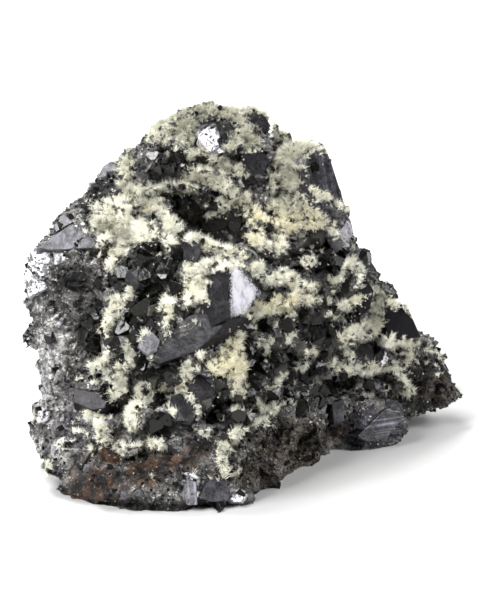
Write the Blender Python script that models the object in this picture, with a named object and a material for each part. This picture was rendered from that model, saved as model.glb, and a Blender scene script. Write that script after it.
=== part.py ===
"""Galena specimen: a lump of broken lead ore, its front grown over with crystals and druse.

The specimen is one natural piece, so it is one solid. Large rough lumps make its body, steps
of cubic cleavage break their faces, and low mounds stand where the druse grows, as high as the
tips of its needles. Galena cubes and sphalerite crystals are then joined to the body where
they grow from it.

Places on the front are given as (column, row) on a grid that is looked at from the front and a
little above. Depth is the world Y in metres, which grows away from the eye.
"""

import math
import random

import bmesh
import bpy
import numpy as np
from mathutils import Euler, Matrix, Vector, noise
from mathutils.bvhtree import BVHTree

# Driving dimensions, in metres unless the name says otherwise
WIDTH = 0.140
WIDTH_IN_STEPS = 436
GRID_STEP = WIDTH / WIDTH_IN_STEPS
GRID_CENTRE = (240.0, 302.5)
EYE_DISTANCE = 0.70
EYE_ELEVATION = math.radians(18)
LOOKED_AT = Vector((0.0, 0.0, 0.055))

BODY_VOXEL = 0.0016
BODY_TRIANGLES = 4500
CLEAVAGE_CUBE = 0.0115
CLEAVAGE_STEP = 0.0036
GRAIN_SIZE = 0.034
SWELL_SIZE = 0.030
SWELL_HEIGHT = 0.0014
DRUSE_HEIGHT = 0.0024
RECESS_DEPTH = 0.0020
RECESS_BELOW = 11.0
BASE_FACE_Z = 0.0

ORE_COLOUR = (0.16, 0.16, 0.175, 1.0)
ORE_ROUGHNESS = 0.38
ORE_METALLIC = 0.85

# Lumps of the body. Each is the convex hull of its corners: those that show on the front as
# (column, row, depth), and the hidden ones as world (x, y, z).
LUMPS = {
    "base": (
        [],
        [(-0.059, -0.022, -0.005), (-0.054, -0.032, -0.005), (-0.044, -0.037, -0.005),
         (-0.028, -0.040, -0.005), (-0.016, -0.043, -0.005), (-0.002, -0.042, -0.005),
         (0.004, -0.038, -0.005), (0.021, -0.009, -0.005), (0.029, 0.006, -0.005),
         (0.038, 0.044, -0.005), (-0.050, 0.038, -0.005), (-0.061, -0.008, -0.005),
         (-0.059, -0.024, 0.007), (-0.054, -0.034, 0.007), (-0.028, -0.042, 0.008),
         (0.002, -0.037, 0.007), (0.020, -0.009, 0.007), (0.038, 0.042, 0.007),
         (-0.050, 0.038, 0.007), (-0.062, -0.006, 0.007)],
    ),
    "foot": (
        [(64, 500, -0.036), (150, 506, -0.043), (190, 506, -0.045), (248, 502, -0.039),
         (304, 467, -0.008), (326, 454, 0.006), (46, 478, -0.026), (52, 430, -0.026),
         (150, 415, -0.038), (232, 420, -0.038), (300, 405, -0.014), (345, 400, 0.006)],
        [(-0.050, 0.036, 0.0), (0.040, 0.044, 0.0), (-0.054, 0.040, 0.040), (0.048, 0.046, 0.034)],
    ),
    "heart": (
        [(78, 430, -0.026), (105, 310, -0.020), (140, 235, -0.010), (200, 325, -0.030),
         (228, 405, -0.034), (268, 265, -0.012), (300, 330, -0.014), (345, 380, 0.002),
         (165, 195, -0.002), (265, 200, 0.002), (335, 250, 0.008)],
        [(-0.048, 0.046, 0.020), (-0.040, 0.048, 0.075), (0.036, 0.048, 0.072),
         (0.050, 0.048, 0.020), (0.0, 0.052, 0.095)],
    ),
    "summit": (
        [(153, 139, 0.012), (177, 119, 0.016), (192, 103, 0.018), (220, 100, 0.018),
         (275, 155, 0.012), (124, 154, 0.014), (104, 200, 0.010), (165, 200, -0.004),
         (275, 205, 0.002), (235, 140, 0.006)],
        [(-0.024, 0.046, 0.100), (0.004, 0.048, 0.104), (-0.040, 0.046, 0.078),
         (0.022, 0.048, 0.078)],
    ),
    "summit_knob": (
        [(234, 112, 0.018), (250, 110, 0.016), (264, 114, 0.018), (273, 128, 0.020),
         (270, 150, 0.016), (236, 150, 0.008)],
        [(0.002, 0.040, 0.100), (0.012, 0.040, 0.096)],
    ),
    "summit_back_knob": (
        [(268, 122, 0.030), (280, 123, 0.032), (288, 136, 0.032), (280, 165, 0.022)],
        [(0.008, 0.048, 0.080), (0.014, 0.048, 0.084)],
    ),
    "upper_ledge": (
        [(142, 186, -0.002), (158, 196, -0.006), (238, 192, -0.008), (240, 174, -0.004),
         (184, 176, 0.000), (150, 178, 0.000)],
        [(-0.030, 0.030, 0.078), (0.002, 0.030, 0.080)],
    ),
    "left_shoulder": (
        [(62, 214, 0.014), (84, 212, 0.010), (46, 238, 0.008), (23, 262, 0.004),
         (18, 293, 0.002), (26, 330, 0.0), (100, 240, -0.004), (112, 300, -0.018),
         (78, 350, -0.020), (31, 372, -0.004)],
        [(-0.064, 0.030, 0.050), (-0.058, 0.036, 0.074), (-0.045, 0.046, 0.080),
         (-0.010, 0.030, 0.050)],
    ),
    "left_wall": (
        [(31, 350, -0.002), (33, 410, -0.006), (31, 430, -0.006), (26, 449, -0.006),
         (33, 471, -0.014), (85, 350, -0.022), (84, 440, -0.029), (48, 476, -0.024)],
        [(-0.064, 0.024, 0.022), (-0.060, 0.036, 0.050), (-0.056, 0.040, 0.020),
         (-0.010, 0.030, 0.030)],
    ),
    "left_terrace": (
        [(103, 164, 0.022), (114, 159, 0.020), (96, 180, 0.020), (85, 202, 0.016),
         (82, 214, 0.012), (125, 210, -0.002), (137, 168, 0.010), (150, 240, -0.004)],
        [(-0.046, 0.044, 0.076), (-0.036, 0.044, 0.088), (-0.010, 0.030, 0.070),
         (-0.040, 0.020, 0.050)],
    ),
    "right_shoulder": (
        [(342, 246, 0.012), (368, 249, 0.020), (376, 268, 0.022), (392, 288, 0.024),
         (396, 330, 0.020), (330, 300, 0.000), (300, 330, -0.012), (340, 375, 0.002),
         (400, 400, 0.020), (300, 240, 0.002)],
        [(0.044, 0.050, 0.050), (0.054, 0.048, 0.020), (0.026, 0.050, 0.070)],
    ),
    "tail": (
        [(390, 349, 0.018), (422, 355, 0.030), (449, 367, 0.034), (464, 386, 0.036),
         (463, 402, 0.034), (436, 411, 0.030), (416, 425, 0.022), (345, 400, 0.004),
         (370, 440, 0.012)],
        [(0.070, 0.050, 0.026), (0.072, 0.048, 0.014), (0.050, 0.054, 0.036),
         (0.048, 0.050, 0.004)],
    ),
    "lower_slab": (
        [(322, 456, 0.008), (345, 458, 0.008), (372, 452, 0.010), (398, 441, 0.016),
         (410, 426, 0.020), (392, 405, 0.014), (340, 425, 0.002)],
        [(0.030, 0.046, 0.002), (0.052, 0.044, 0.006), (0.050, 0.044, 0.020)],
    ),
}

# Large crystals that are blocks of their own: their front and hidden corners, as above.
BLOCKS = {
    "upper_right_crystal": (
        [(276, 162, 0.0120), (284, 148, 0.0100), (298, 140, 0.0100), (314, 139, 0.0120),
         (324, 144, 0.0130), (331, 161, 0.0110), (345, 205, 0.0105), (352, 232, 0.0120),
         (345, 243, 0.0080), (323, 152, 0.0097), (307, 159, 0.0045), (302, 170, 0.0020),
         (303, 187, 0.0006), (313, 196, 0.0025), (284, 225, 0.0000)],
        [(0.026, 0.030, 0.090), (0.019, 0.030, 0.091), (0.031, 0.038, 0.064)],
    ),
    "right_block": (
        [(384, 301, 0.018), (407, 305, 0.022), (421, 337, 0.024), (388, 342, 0.012)],
        [(0.049, 0.046, 0.032), (0.056, 0.044, 0.030), (0.060, 0.048, 0.022),
         (0.044, 0.040, 0.022)],
    ),
    "middle_crystal": (
        [(210, 275, -0.0254), (228, 266, -0.0290), (236, 261, -0.0246), (262, 292, -0.0160),
         (245, 314, -0.0270), (229, 318, -0.0350), (203, 332, -0.0300), (197, 318, -0.0269)],
        [(-0.008, -0.006, 0.050), (0.008, -0.002, 0.062), (-0.002, -0.002, 0.070)],
    ),
}

# Druse on the front: lines that it follows, through (column, row, half width in grid steps).
DRUSE_BANDS = [
    [(152, 137, 6), (163, 128, 10), (176, 122, 9)],
    [(184, 134, 8), (188, 120, 11), (200, 110, 10), (216, 107, 8), (226, 110, 6)],
    [(148, 141, 3), (165, 140, 4), (180, 141, 5), (192, 142, 5)],
    [(131, 151, 4), (127, 160, 8), (126, 172, 9), (126, 184, 8), (128, 196, 8)],
    [(168, 156, 2.5), (177, 153, 4), (190, 155, 6), (206, 158, 7),
     (222, 164, 8), (237, 169, 7), (244, 173, 4)],
    [(184, 179, 3), (192, 176, 6), (204, 176, 8), (216, 179, 9), (226, 186, 7), (234, 191, 4)],
    [(128, 197, 7), (142, 190, 7), (158, 189, 6), (172, 187, 7), (186, 187, 7), (195, 190, 4)],
    [(94, 208, 6), (106, 206, 9), (122, 206, 10), (138, 205, 9), (152, 206, 7)],
    [(97, 222, 9), (112, 222, 12), (130, 224, 13), (146, 231, 10), (154, 236, 6)],
    [(103, 240, 8), (118, 241, 10), (134, 238, 9)],
    [(122, 248, 9), (114, 256, 7), (109, 268, 5)],
    [(168, 220, 8), (174, 228, 10), (179, 226, 7)],
    [(166, 238, 7), (172, 248, 8), (172, 256, 6)],
    [(160, 202, 6), (165, 212, 6)],
    [(210, 212, 7), (222, 206, 8), (236, 202, 8), (246, 200, 8)],
    [(186, 238, 5), (196, 241, 7), (206, 245, 6)],
    [(212, 246, 6), (226, 250, 8), (240, 258, 8)],
    [(232, 113, 8), (245, 108, 7), (258, 109, 6), (270, 116, 5)],
    [(238, 124, 7), (247, 130, 8)],
    [(232, 138, 6), (246, 139, 6), (258, 138, 5)],
    [(228, 147, 5), (242, 146, 7), (256, 147, 6), (264, 149, 4)],
    [(275, 124, 4), (277, 136, 4)],
    [(283, 134, 4), (285, 142, 3)],
    [(286, 150, 10), (290, 164, 14), (291, 181, 14), (294, 194, 10)],
    [(292, 150, 10), (303, 149, 11), (315, 147, 8), (323, 149, 5)],
    [(275, 160, 5), (274, 175, 6), (272, 190, 6)],
    [(250, 210, 10), (258, 222, 10), (256, 236, 9), (262, 246, 8)],
    [(272, 206, 8), (290, 203, 8), (306, 200, 6)],
    [(284, 214, 9), (300, 215, 8), (310, 217, 6)],
    [(284, 229, 8), (298, 228, 8), (312, 224, 7)],
    [(276, 240, 6), (280, 252, 7)],
    [(272, 222, 6), (278, 226, 6)],
    [(330, 232, 4), (336, 240, 4)],
    [(302, 264, 5), (310, 261, 6)],
    [(132, 294, 7), (122, 302, 9), (112, 313, 8)],
    [(108, 320, 6), (104, 332, 5)],
    [(168, 300, 7), (169, 315, 6), (166, 333, 5)],
    [(190, 270, 9), (194, 285, 11), (192, 300, 9), (184, 306, 5)],
    [(205, 266, 8), (218, 265, 8), (227, 270, 6)],
    [(205, 285, 7), (202, 298, 6)],
    [(238, 335, 8), (232, 350, 11), (224, 362, 12), (214, 368, 9)],
    [(238, 362, 10), (238, 378, 9), (240, 392, 8)],
    [(200, 350, 6), (195, 362, 8), (186, 372, 8), (178, 384, 8), (166, 388, 7), (160, 386, 6)],
    [(190, 386, 6), (186, 392, 5), (194, 402, 4)],
    [(148, 390, 9), (140, 402, 9), (134, 414, 9), (132, 424, 8)],
    [(122, 370, 8), (116, 384, 10), (110, 396, 9)],
    [(106, 372, 5), (98, 366, 5)],
    [(128, 346, 5), (130, 362, 6)],
    [(112, 352, 4), (100, 362, 4), (94, 370, 5)],
    [(140, 338, 3), (147, 332, 3)],
    [(244, 258, 8), (256, 268, 8), (264, 280, 6)],
    [(264, 280, 6), (276, 278, 8), (290, 276, 7), (300, 281, 5)],
    [(248, 316, 7), (258, 311, 8), (270, 308, 8), (284, 302, 10), (298, 298, 9), (308, 300, 6)],
    [(292, 290, 7), (300, 288, 5)],
    [(294, 317, 4), (300, 318, 4)],
    [(306, 286, 5), (314, 288, 6)],
    [(320, 299, 5), (328, 304, 4)],
    [(352, 264, 7), (342, 274, 7), (334, 286, 6)],
    [(354, 266, 6), (359, 276, 5), (357, 288, 4)],
    [(330, 314, 5), (340, 309, 7), (350, 303, 7), (358, 297, 5)],
    [(376, 290, 7), (380, 302, 7), (379, 316, 7), (375, 330, 7)],
    [(348, 334, 6), (358, 332, 9), (368, 328, 9), (374, 322, 7)],
    [(344, 332, 5), (346, 346, 6), (350, 356, 6)],
    [(329, 364, 5), (338, 368, 7), (348, 369, 6), (362, 367, 6),
     (378, 366, 6), (392, 367, 5), (398, 370, 4)],
    [(262, 341, 5), (272, 340, 6), (266, 350, 5)],
    [(287, 341, 6), (292, 334, 4)],
    [(309, 349, 6), (304, 360, 6), (299, 368, 4)],
    [(283, 376, 4), (276, 384, 7), (269, 394, 5)],
    [(258, 404, 4), (266, 410, 5)],
    [(386, 294, 5), (398, 297, 5), (408, 302, 5), (413, 310, 4), (415, 318, 3)],
    [(404, 341, 4), (418, 347, 4), (432, 353, 4), (442, 358, 3)],
    [(384, 338, 4), (394, 343, 6), (403, 350, 6), (411, 357, 5)],
    [(407, 366, 4), (411, 371, 4)],
    [(398, 372, 4), (404, 382, 6), (409, 391, 6), (400, 392, 6)],
    [(384, 387, 3), (389, 388, 3)],
    [(90, 412, 4), (98, 420, 6), (104, 432, 8), (100, 446, 7), (94, 450, 5)],
    [(116, 448, 5), (128, 447, 6), (140, 446, 4)],
    [(148, 442, 4), (158, 446, 4), (172, 442, 4)],
    [(170, 402, 4), (172, 416, 4)],
    [(190, 398, 3), (198, 410, 4)],
    [(196, 430, 4), (208, 434, 5)],
    [(268, 420, 5), (256, 424, 6), (244, 429, 6), (232, 437, 7), (225, 448, 7), (222, 458, 5)],
    [(277, 402, 4), (272, 413, 5)],
    [(222, 466, 5), (230, 474, 5), (240, 472, 4)],
    [(46, 464, 4), (50, 472, 4)],
    [(62, 446, 5), (72, 444, 5)],
]

# Crystals that show one large flat face: how far it leans to the right and up in degrees, and
# its corners as (column, row).
FLAT_CRYSTALS = [
    ((-20, 10), [(197, 313), (185, 317), (170, 334), (151, 359), (159, 364),
        (183, 349), (197, 351), (219, 331), (229, 318)]),
    ((0, 5), [(138, 347), (142, 335), (152, 332), (160, 340), (157, 352), (147, 355)]),
    ((8, 22), [(187, 384), (200, 373), (214, 389), (216, 396),
        (205, 410), (197, 403), (189, 395)]),
    ((-5, 18), [(171, 396), (180, 393), (195, 404), (196, 415),
        (190, 425), (175, 422), (169, 410)]),
    ((5, -5), [(243, 154), (262, 152), (269, 160), (264, 175), (253, 185), (243, 176)]),
    ((0, 8), [(181, 240), (190, 238), (199, 244), (201, 252), (196, 262), (184, 260)]),
    ((-12, 18), [(75, 380), (102, 390), (108, 398), (105, 408), (92, 410), (73, 402)]),
    ((-8, 16), [(53, 226), (64, 214), (73, 222), (56, 232)]),
    ((-6, 18), [(37, 248), (53, 236), (72, 224), (95, 240), (93, 248), (72, 238), (50, 250)]),
    ((-20, 22), [(97, 178), (103, 166), (111, 161), (117, 165), (116, 172), (104, 177)]),
    ((5, 10), [(354, 349), (358, 343), (370, 344), (374, 351), (371, 364), (362, 364)]),
    ((28, 5), [(372, 361), (383, 346), (385, 353), (381, 366)]),
    ((35, 10), [(381, 361), (386, 351), (389, 359), (382, 367)]),
    ((22, 5), [(358, 286), (364, 275), (374, 291), (370, 309), (362, 315), (356, 304)]),
    ((10, -12), [(358, 436), (374, 425), (386, 409), (400, 412),
        (404, 417), (392, 431), (386, 439), (366, 442)]),
    ((10, 5), [(199, 498), (210, 480), (223, 478), (231, 492), (228, 501), (213, 502)]),
    ((0, -5), [(187, 480), (196, 484), (197, 505), (187, 505), (181, 495)]),
    ((10, 5), [(332, 403), (344, 399), (344, 421), (334, 424)]),
    ((10, 32), [(312, 196), (326, 199), (342, 206), (346, 213), (338, 212), (322, 206)]),
    ((28, 10), [(333, 221), (341, 216), (352, 224), (354, 234), (346, 245), (340, 237)]),
    ((0, 15), [(203, 131), (208, 128), (214, 137), (216, 147),
        (210, 150), (205, 143), (199, 139)]),
    ((-10, 10), [(32, 257), (44, 253), (51, 258), (47, 264), (35, 262)]),
    ((-20, 5), [(27, 292), (35, 279), (44, 282), (47, 288), (37, 292), (29, 297)]),
    ((-5, 5), [(55, 257), (60, 255), (61, 261), (57, 264)]),
    ((-15, 5), [(38, 411), (50, 412), (47, 421), (41, 423)]),
    ((5, 20), [(230, 498), (237, 494), (244, 497), (241, 502), (233, 502)]),
    ((0, 10), [(181, 473), (190, 472), (200, 477), (197, 479)]),
    ((0, 5), [(119, 453), (126, 449), (131, 454), (124, 459)]),
    ((41, 8), [(312, 164), (316, 161), (320, 166), (319, 172), (314, 172)]),
    ((0, 25), [(230, 213), (243, 212), (241, 227), (235, 233), (228, 226)]),
    ((-5, -8), [(202, 220), (228, 219), (227, 227), (215, 233), (200, 231)]),
    ((8, 10), [(145, 239), (158, 237), (157, 248)]),
    ((-14, 0), [(130, 309), (145, 298), (150, 301), (148, 315), (134, 316)]),
    ((18, 5), [(149, 306), (157, 304), (157, 316), (148, 316)]),
    ((-10, 20), [(113, 268), (122, 265), (132, 269), (130, 278), (117, 278)]),
    ((-14, 5), [(290, 243), (297, 238), (308, 237), (304, 245), (295, 252)]),
    ((0, 28), [(309, 232), (318, 228), (324, 233), (320, 238), (311, 238)]),
    ((10, -8), [(321, 252), (330, 248), (331, 258), (323, 262)]),
    ((-22, 5), [(338, 295), (346, 278), (356, 276), (355, 289), (342, 304)]),
    ((0, 5), [(270, 364), (277, 359), (287, 363), (285, 372), (275, 375)]),
    ((0, 14), [(292, 342), (305, 340), (307, 347), (298, 352), (292, 348)]),
    ((10, 0), [(287, 368), (297, 370), (297, 374), (290, 377)]),
    ((0, 18), [(308, 317), (321, 316), (323, 323), (312, 325)]),
    ((10, 10), [(332, 338), (343, 337), (345, 343), (337, 349), (332, 345)]),
    ((-10, 14), [(273, 328), (281, 328), (283, 337), (276, 338)]),
    ((0, 5), [(216, 414), (222, 413), (223, 419), (217, 419)]),
    ((5, 10), [(232, 412), (238, 409), (247, 412), (245, 420), (237, 422), (232, 418)]),
    ((5, 5), [(248, 396), (255, 394), (256, 401), (250, 402)]),
    ((0, 10), [(233, 393), (243, 396), (242, 401), (235, 400)]),
    ((-5, 10), [(201, 401), (211, 398), (212, 405), (206, 410), (201, 407)]),
]

# Crystals on the front: (column, row, radius in grid steps). Sphalerite is black and many-faced.
# Galena is a cube with its corners cut, or a plain cube where it is small or broken.
SPHALERITE = [
    (149, 247, 13), (143, 276, 10), (155, 290, 9), (171, 268, 13), (177, 288, 9),
    (126, 328, 9), (112, 346, 10), (95, 346, 11), (121, 363, 10), (140, 362, 8),
    (136, 338, 8), (154, 404, 12), (121, 396, 8), (150, 373, 8), (222, 384, 8),
    (262, 368, 10), (250, 352, 9), (287, 326, 9), (316, 335, 11), (331, 326, 9),
    (306, 377, 9), (322, 356, 9), (331, 248, 9), (318, 262, 11), (335, 264, 10),
    (345, 254, 8), (304, 266, 8), (283, 262, 9), (264, 256, 12), (191, 211, 12),
    (172, 208, 8), (262, 178, 9), (242, 186, 8), (352, 320, 9), (324, 388, 11),
    (254, 158, 12), (219, 192, 11), (190, 196, 7), (240, 238, 8), (272, 300, 6),
    (256, 384, 8), (306, 398, 7), (284, 404, 7),
]
GALENA = [(258, 125, 12), (138, 278, 12)]
BROKEN_GALENA = [
    (97, 262, 12), (214, 139, 11), (157, 150, 11), (152, 172, 14), (44, 268, 15),
    (36, 292, 10), (72, 300, 13), (50, 334, 11), (56, 374, 10), (70, 424, 16),
    (44, 418, 10), (46, 442, 12), (100, 466, 12), (132, 468, 11), (164, 462, 10),
    (260, 446, 12), (286, 440, 13), (346, 402, 13), (430, 374, 11), (442, 390, 9),
    (304, 424, 9),
]
GALENA_SIZE = 0.75
SPHALERITE_SIZE = 1.15
FACE_MARGIN = 0.0006
FACE_LIFT = 0.0045
GALENA_SINK = 0.35
SPHALERITE_SINK = 0.20
SIDE_AZIMUTHS = (75, 125, 180, 235, 285)
SIDE_CRYSTALS = 8
SIDE_COLUMNS = (90.0, 390.0)
SIDE_ROWS = (120.0, 430.0)
SIDE_CRYSTAL_RADIUS = (0.0026, 0.0052)
SIDE_SINK = 0.55
CUBE_CORNER_CUT = 0.80
TETRAHEDRON_CUTS = (0.32, 0.41)


class Grid:
    """The grid of places as it is looked at from one side, at this azimuth in degrees."""

    def __init__(self, azimuth=0.0):
        turn = Matrix.Rotation(math.radians(azimuth), 3, "Z")
        sine, cosine = math.sin(EYE_ELEVATION), math.cos(EYE_ELEVATION)
        self.right = turn @ Vector((1.0, 0.0, 0.0))
        self.up = turn @ Vector((0.0, sine, cosine))
        self.to_eye = turn @ Vector((0.0, -cosine, sine))
        self.eye = LOOKED_AT + self.to_eye * EYE_DISTANCE

    def ray(self, column, row):
        """Direction of the line of sight through a place on the grid."""
        across = self.right * ((column - GRID_CENTRE[0]) * GRID_STEP)
        up = self.up * ((GRID_CENTRE[1] - row) * GRID_STEP)
        return (LOOKED_AT + across + up - self.eye).normalized()

    def seen(self, column, row, depth):
        """The point at this place on the grid whose world Y is the depth."""
        ray = self.ray(column, row)
        return self.eye + ray * ((depth - self.eye.y) / ray.y)

    def place(self, point):
        """(column, row) at which a point is seen."""
        ray = point - self.eye
        ray *= EYE_DISTANCE / -ray.dot(self.to_eye)
        return (
            GRID_CENTRE[0] + ray.dot(self.right) / GRID_STEP,
            GRID_CENTRE[1] - ray.dot(self.up) / GRID_STEP,
        )


FRONT = Grid()


def clear_scene():
    for obj in list(bpy.data.objects):
        bpy.data.objects.remove(obj, do_unlink=True)


def add_object(name, mesh):
    obj = bpy.data.objects.new(name, mesh)
    bpy.context.scene.collection.objects.link(obj)
    return obj


def applied(obj, name):
    """A mesh of the object as its modifiers leave it; the object is removed."""
    graph = bpy.context.evaluated_depsgraph_get()
    mesh = bpy.data.meshes.new_from_object(obj.evaluated_get(graph))
    mesh.name = name
    bpy.data.objects.remove(obj, do_unlink=True)
    return mesh


def hull_of(bm, corners):
    """Adds the convex hull of the corners to bm."""
    verts = [bm.verts.new(corner) for corner in corners]
    made = bmesh.ops.convex_hull(bm, input=verts)
    inside = [v for v in made["geom_interior"] if isinstance(v, bmesh.types.BMVert)]
    bmesh.ops.delete(bm, geom=inside, context="VERTS")


def hulls_mesh(name, groups):
    """One mesh with a hull for each (front corners, hidden corners)."""
    bm = bmesh.new()
    for front, hidden in groups:
        corners = [FRONT.seen(*corner) for corner in front]
        hull_of(bm, corners + [Vector(corner) for corner in hidden])
    bmesh.ops.recalc_face_normals(bm, faces=bm.faces)
    mesh = bpy.data.meshes.new(name)
    bm.to_mesh(mesh)
    bm.free()
    return mesh


def band_shares(places):
    """For each place on the grid, 1 along the middle of a band of druse, down to 0 at its edge."""
    best = np.zeros(len(places))
    for line in DRUSE_BANDS:
        for (*start, wide), (*end, then) in zip(line, line[1:]):
            a, way = np.array(start, float), np.subtract(end, start).astype(float)
            along = np.clip((places - a) @ way / (way @ way), 0.0, 1.0)
            away = np.linalg.norm(places - a - along[:, None] * way, axis=1)
            best = np.maximum(best, 1.15 - away / (wide + (then - wide) * along))
    return np.clip(1.6 * best, 0.0, 1.0)


def patch_share(point, normal):
    """The same for the sides and the back, where druse lies in patches on what faces up."""
    patch = noise.noise(point * 55.0) + 0.5 * noise.noise(point * 140.0)
    return max(0.0, min(1.0, 2.5 * (patch + normal.z - 0.75)))


def lattice_turn(point):
    """The cleavage lattice of the grain of ore at this point: grains lie in their own directions."""
    grain = noise.cell(point / GRAIN_SIZE)
    return Euler((0.5 + 2.0 * grain, 0.3 - 1.7 * grain, 2.6 * grain)).to_matrix()


def cleavage(point, cube):
    """A value from -1 to 1 that is the same all over each cube of the cleavage lattice."""
    return noise.cell(lattice_turn(point) @ point / cube) * 2.0 - 1.0


def roughen(mesh):
    """Gives the smooth body its swells, its cleavage steps and its mounds of druse."""
    points = [v.co.copy() for v in mesh.vertices]
    normals = [v.normal.copy() for v in mesh.vertices]
    places = np.array([FRONT.place(p) for p in points])
    shares = band_shares(places)
    under = band_shares(places - (0.0, RECESS_BELOW))
    for index, (point, normal) in enumerate(zip(points, normals)):
        in_front = normal.dot(FRONT.to_eye) > 0.05
        share = shares[index] if in_front else patch_share(point, normal)
        recess = max(0.0, under[index] - share) if in_front else 0.0
        swell = noise.fractal(point / SWELL_SIZE, 1.0, 2.0, 3) * SWELL_HEIGHT
        step = cleavage(point, CLEAVAGE_CUBE) * 0.5 * CLEAVAGE_STEP * (1.0 - 0.6 * share)
        height = swell + step + DRUSE_HEIGHT * math.sqrt(share) - RECESS_DEPTH * recess
        mesh.vertices[index].co = point + normal * height
    mesh.update()


def body_mesh():
    """The body: the lumps made one, roughened, thinned out and cut off flat at the base."""
    obj = add_object("body", hulls_mesh("body", LUMPS.values()))
    remesh = obj.modifiers.new("one skin", "REMESH")
    remesh.mode = "VOXEL"
    remesh.voxel_size = BODY_VOXEL
    mesh = applied(obj, "body")
    roughen(mesh)
    obj = add_object("body", mesh)
    thin = obj.modifiers.new("fewer faces", "DECIMATE")
    thin.ratio = BODY_TRIANGLES / (2.0 * len(mesh.polygons))
    mesh = applied(obj, "body")
    bm = bmesh.new()
    bm.from_mesh(mesh)
    cut = bmesh.ops.bisect_plane(
        bm, geom=bm.verts[:] + bm.edges[:] + bm.faces[:], dist=1e-6,
        plane_co=(0, 0, BASE_FACE_Z), plane_no=(0, 0, 1), clear_inner=True,
    )
    rim = [e for e in cut["geom_cut"] if isinstance(e, bmesh.types.BMEdge)]
    bmesh.ops.contextual_create(bm, geom=rim)
    bmesh.ops.recalc_face_normals(bm, faces=bm.faces)
    bm.to_mesh(mesh)
    bm.free()
    return mesh


def crystal_mesh(name, cuts):
    """A cube from -1 to 1 with its edges and corners cut by the planes (normal, distance)."""
    bm = bmesh.new()
    bmesh.ops.create_cube(bm, size=2.0)
    for normal, distance in cuts:
        along = Vector(normal).normalized()
        cut = bmesh.ops.bisect_plane(
            bm, geom=bm.verts[:] + bm.edges[:] + bm.faces[:], dist=1e-6,
            plane_co=along * distance, plane_no=along, clear_outer=True,
        )
        rim = [e for e in cut["geom_cut"] if isinstance(e, bmesh.types.BMEdge)]
        if rim:
            bmesh.ops.contextual_create(bm, geom=rim)
    bmesh.ops.recalc_face_normals(bm, faces=bm.faces)
    mesh = bpy.data.meshes.new(name)
    bm.to_mesh(mesh)
    bm.free()
    return mesh


def corner_directions():
    return [(x, y, z) for x in (-1, 1) for y in (-1, 1) for z in (-1, 1)]


def galena_shape():
    """A cube whose corners are cut by the faces of the octahedron."""
    reach = math.sqrt(3.0) * CUBE_CORNER_CUT
    return crystal_mesh("galena_shape", [(way, reach) for way in corner_directions()])


def cleaved_shape():
    """A plain cube, as galena breaks."""
    return crystal_mesh("cleaved_shape", [])


def sphalerite_shape():
    """A tetrahedron whose corners are cut by the faces of the opposite one."""
    cuts = []
    for way in corner_directions():
        cut = TETRAHEDRON_CUTS[0] if way[0] * way[1] * way[2] > 0 else TETRAHEDRON_CUTS[1]
        cuts.append((way, math.sqrt(3.0) * cut))
    return crystal_mesh("sphalerite_shape", cuts)


def crystal_turn(number):
    """A crystal lies as it grew, in any direction: its turn follows from its number."""
    turn = random.Random(number)
    return Euler([turn.uniform(0.0, math.tau) for _ in range(3)])


def flat_crystal(tree, lean, corners):
    """A crystal that shows this face to the front: it stands out just enough for all of it to
    be seen, and widens from the face into the body."""
    normal = FRONT.to_eye + FRONT.right * math.tan(math.radians(lean[0]))
    normal = (normal + FRONT.up * math.tan(math.radians(lean[1]))).normalized()
    middle = np.mean(corners, axis=0)
    rays = [FRONT.ray(*(0.85 * np.array(corner) + 0.15 * middle)) for corner in corners]
    reaches = [tree.ray_cast(FRONT.eye, ray)[3] for ray in rays]
    levels = [ray.dot(normal) * reach for ray, reach in zip(rays, reaches) if reach is not None]
    level = min(max(levels) + FACE_MARGIN, min(levels) + FACE_LIFT)
    rays = [FRONT.ray(*corner) for corner in corners]
    face = [FRONT.eye + ray * (level / ray.dot(normal)) for ray in rays]
    centre = sum(face, Vector()) / len(face)
    reach = sum((point - centre).length for point in face) / len(face)
    back = [point + (point - centre) * 0.3 - normal * (reach + FACE_LIFT) for point in face]
    for point in face + back:
        point.z = max(point.z, FACE_MARGIN)
    bm = bmesh.new()
    hull_of(bm, face + back)
    bmesh.ops.recalc_face_normals(bm, faces=bm.faces)
    mesh = bpy.data.meshes.new("flat_crystal")
    bm.to_mesh(mesh)
    bm.free()
    return mesh


def seated(tree, grid, column, row, radius, sink, number):
    """Placement of a crystal that grows from the body at this place, or None off the body."""
    ray = grid.ray(column, row)
    hit, _, _, _ = tree.ray_cast(grid.eye, ray)
    if hit is None:
        return None
    size = Vector((radius, radius, radius))
    return Matrix.LocRotScale(hit + ray * radius * sink, crystal_turn(number), size)


def front_crystals(tree, places, size, sink, first_number):
    """Placements of the crystals at these places on the front."""
    made = []
    for number, (column, row, steps) in enumerate(places, first_number):
        radius = steps * GRID_STEP * size
        placement = seated(tree, FRONT, column, row, radius, sink, number)
        if placement is None:
            raise ValueError(f"no part of the body is seen at {column}, {row}")
        made.append(placement)
    return made


def side_crystals(tree):
    """Placements of the crystals on the sides and the back, scattered over each side's grid."""
    made = []
    for azimuth in SIDE_AZIMUTHS:
        grid = Grid(azimuth)
        for number in range(azimuth * 100, azimuth * 100 + SIDE_CRYSTALS):
            spot = random.Random(number)
            column, row = spot.uniform(*SIDE_COLUMNS), spot.uniform(*SIDE_ROWS)
            radius = spot.uniform(*SIDE_CRYSTAL_RADIUS)
            placement = seated(tree, grid, column, row, radius, SIDE_SINK, number)
            if placement is not None and behind_front(tree, placement.translation, radius):
                made.append(placement)
    return made


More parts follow.
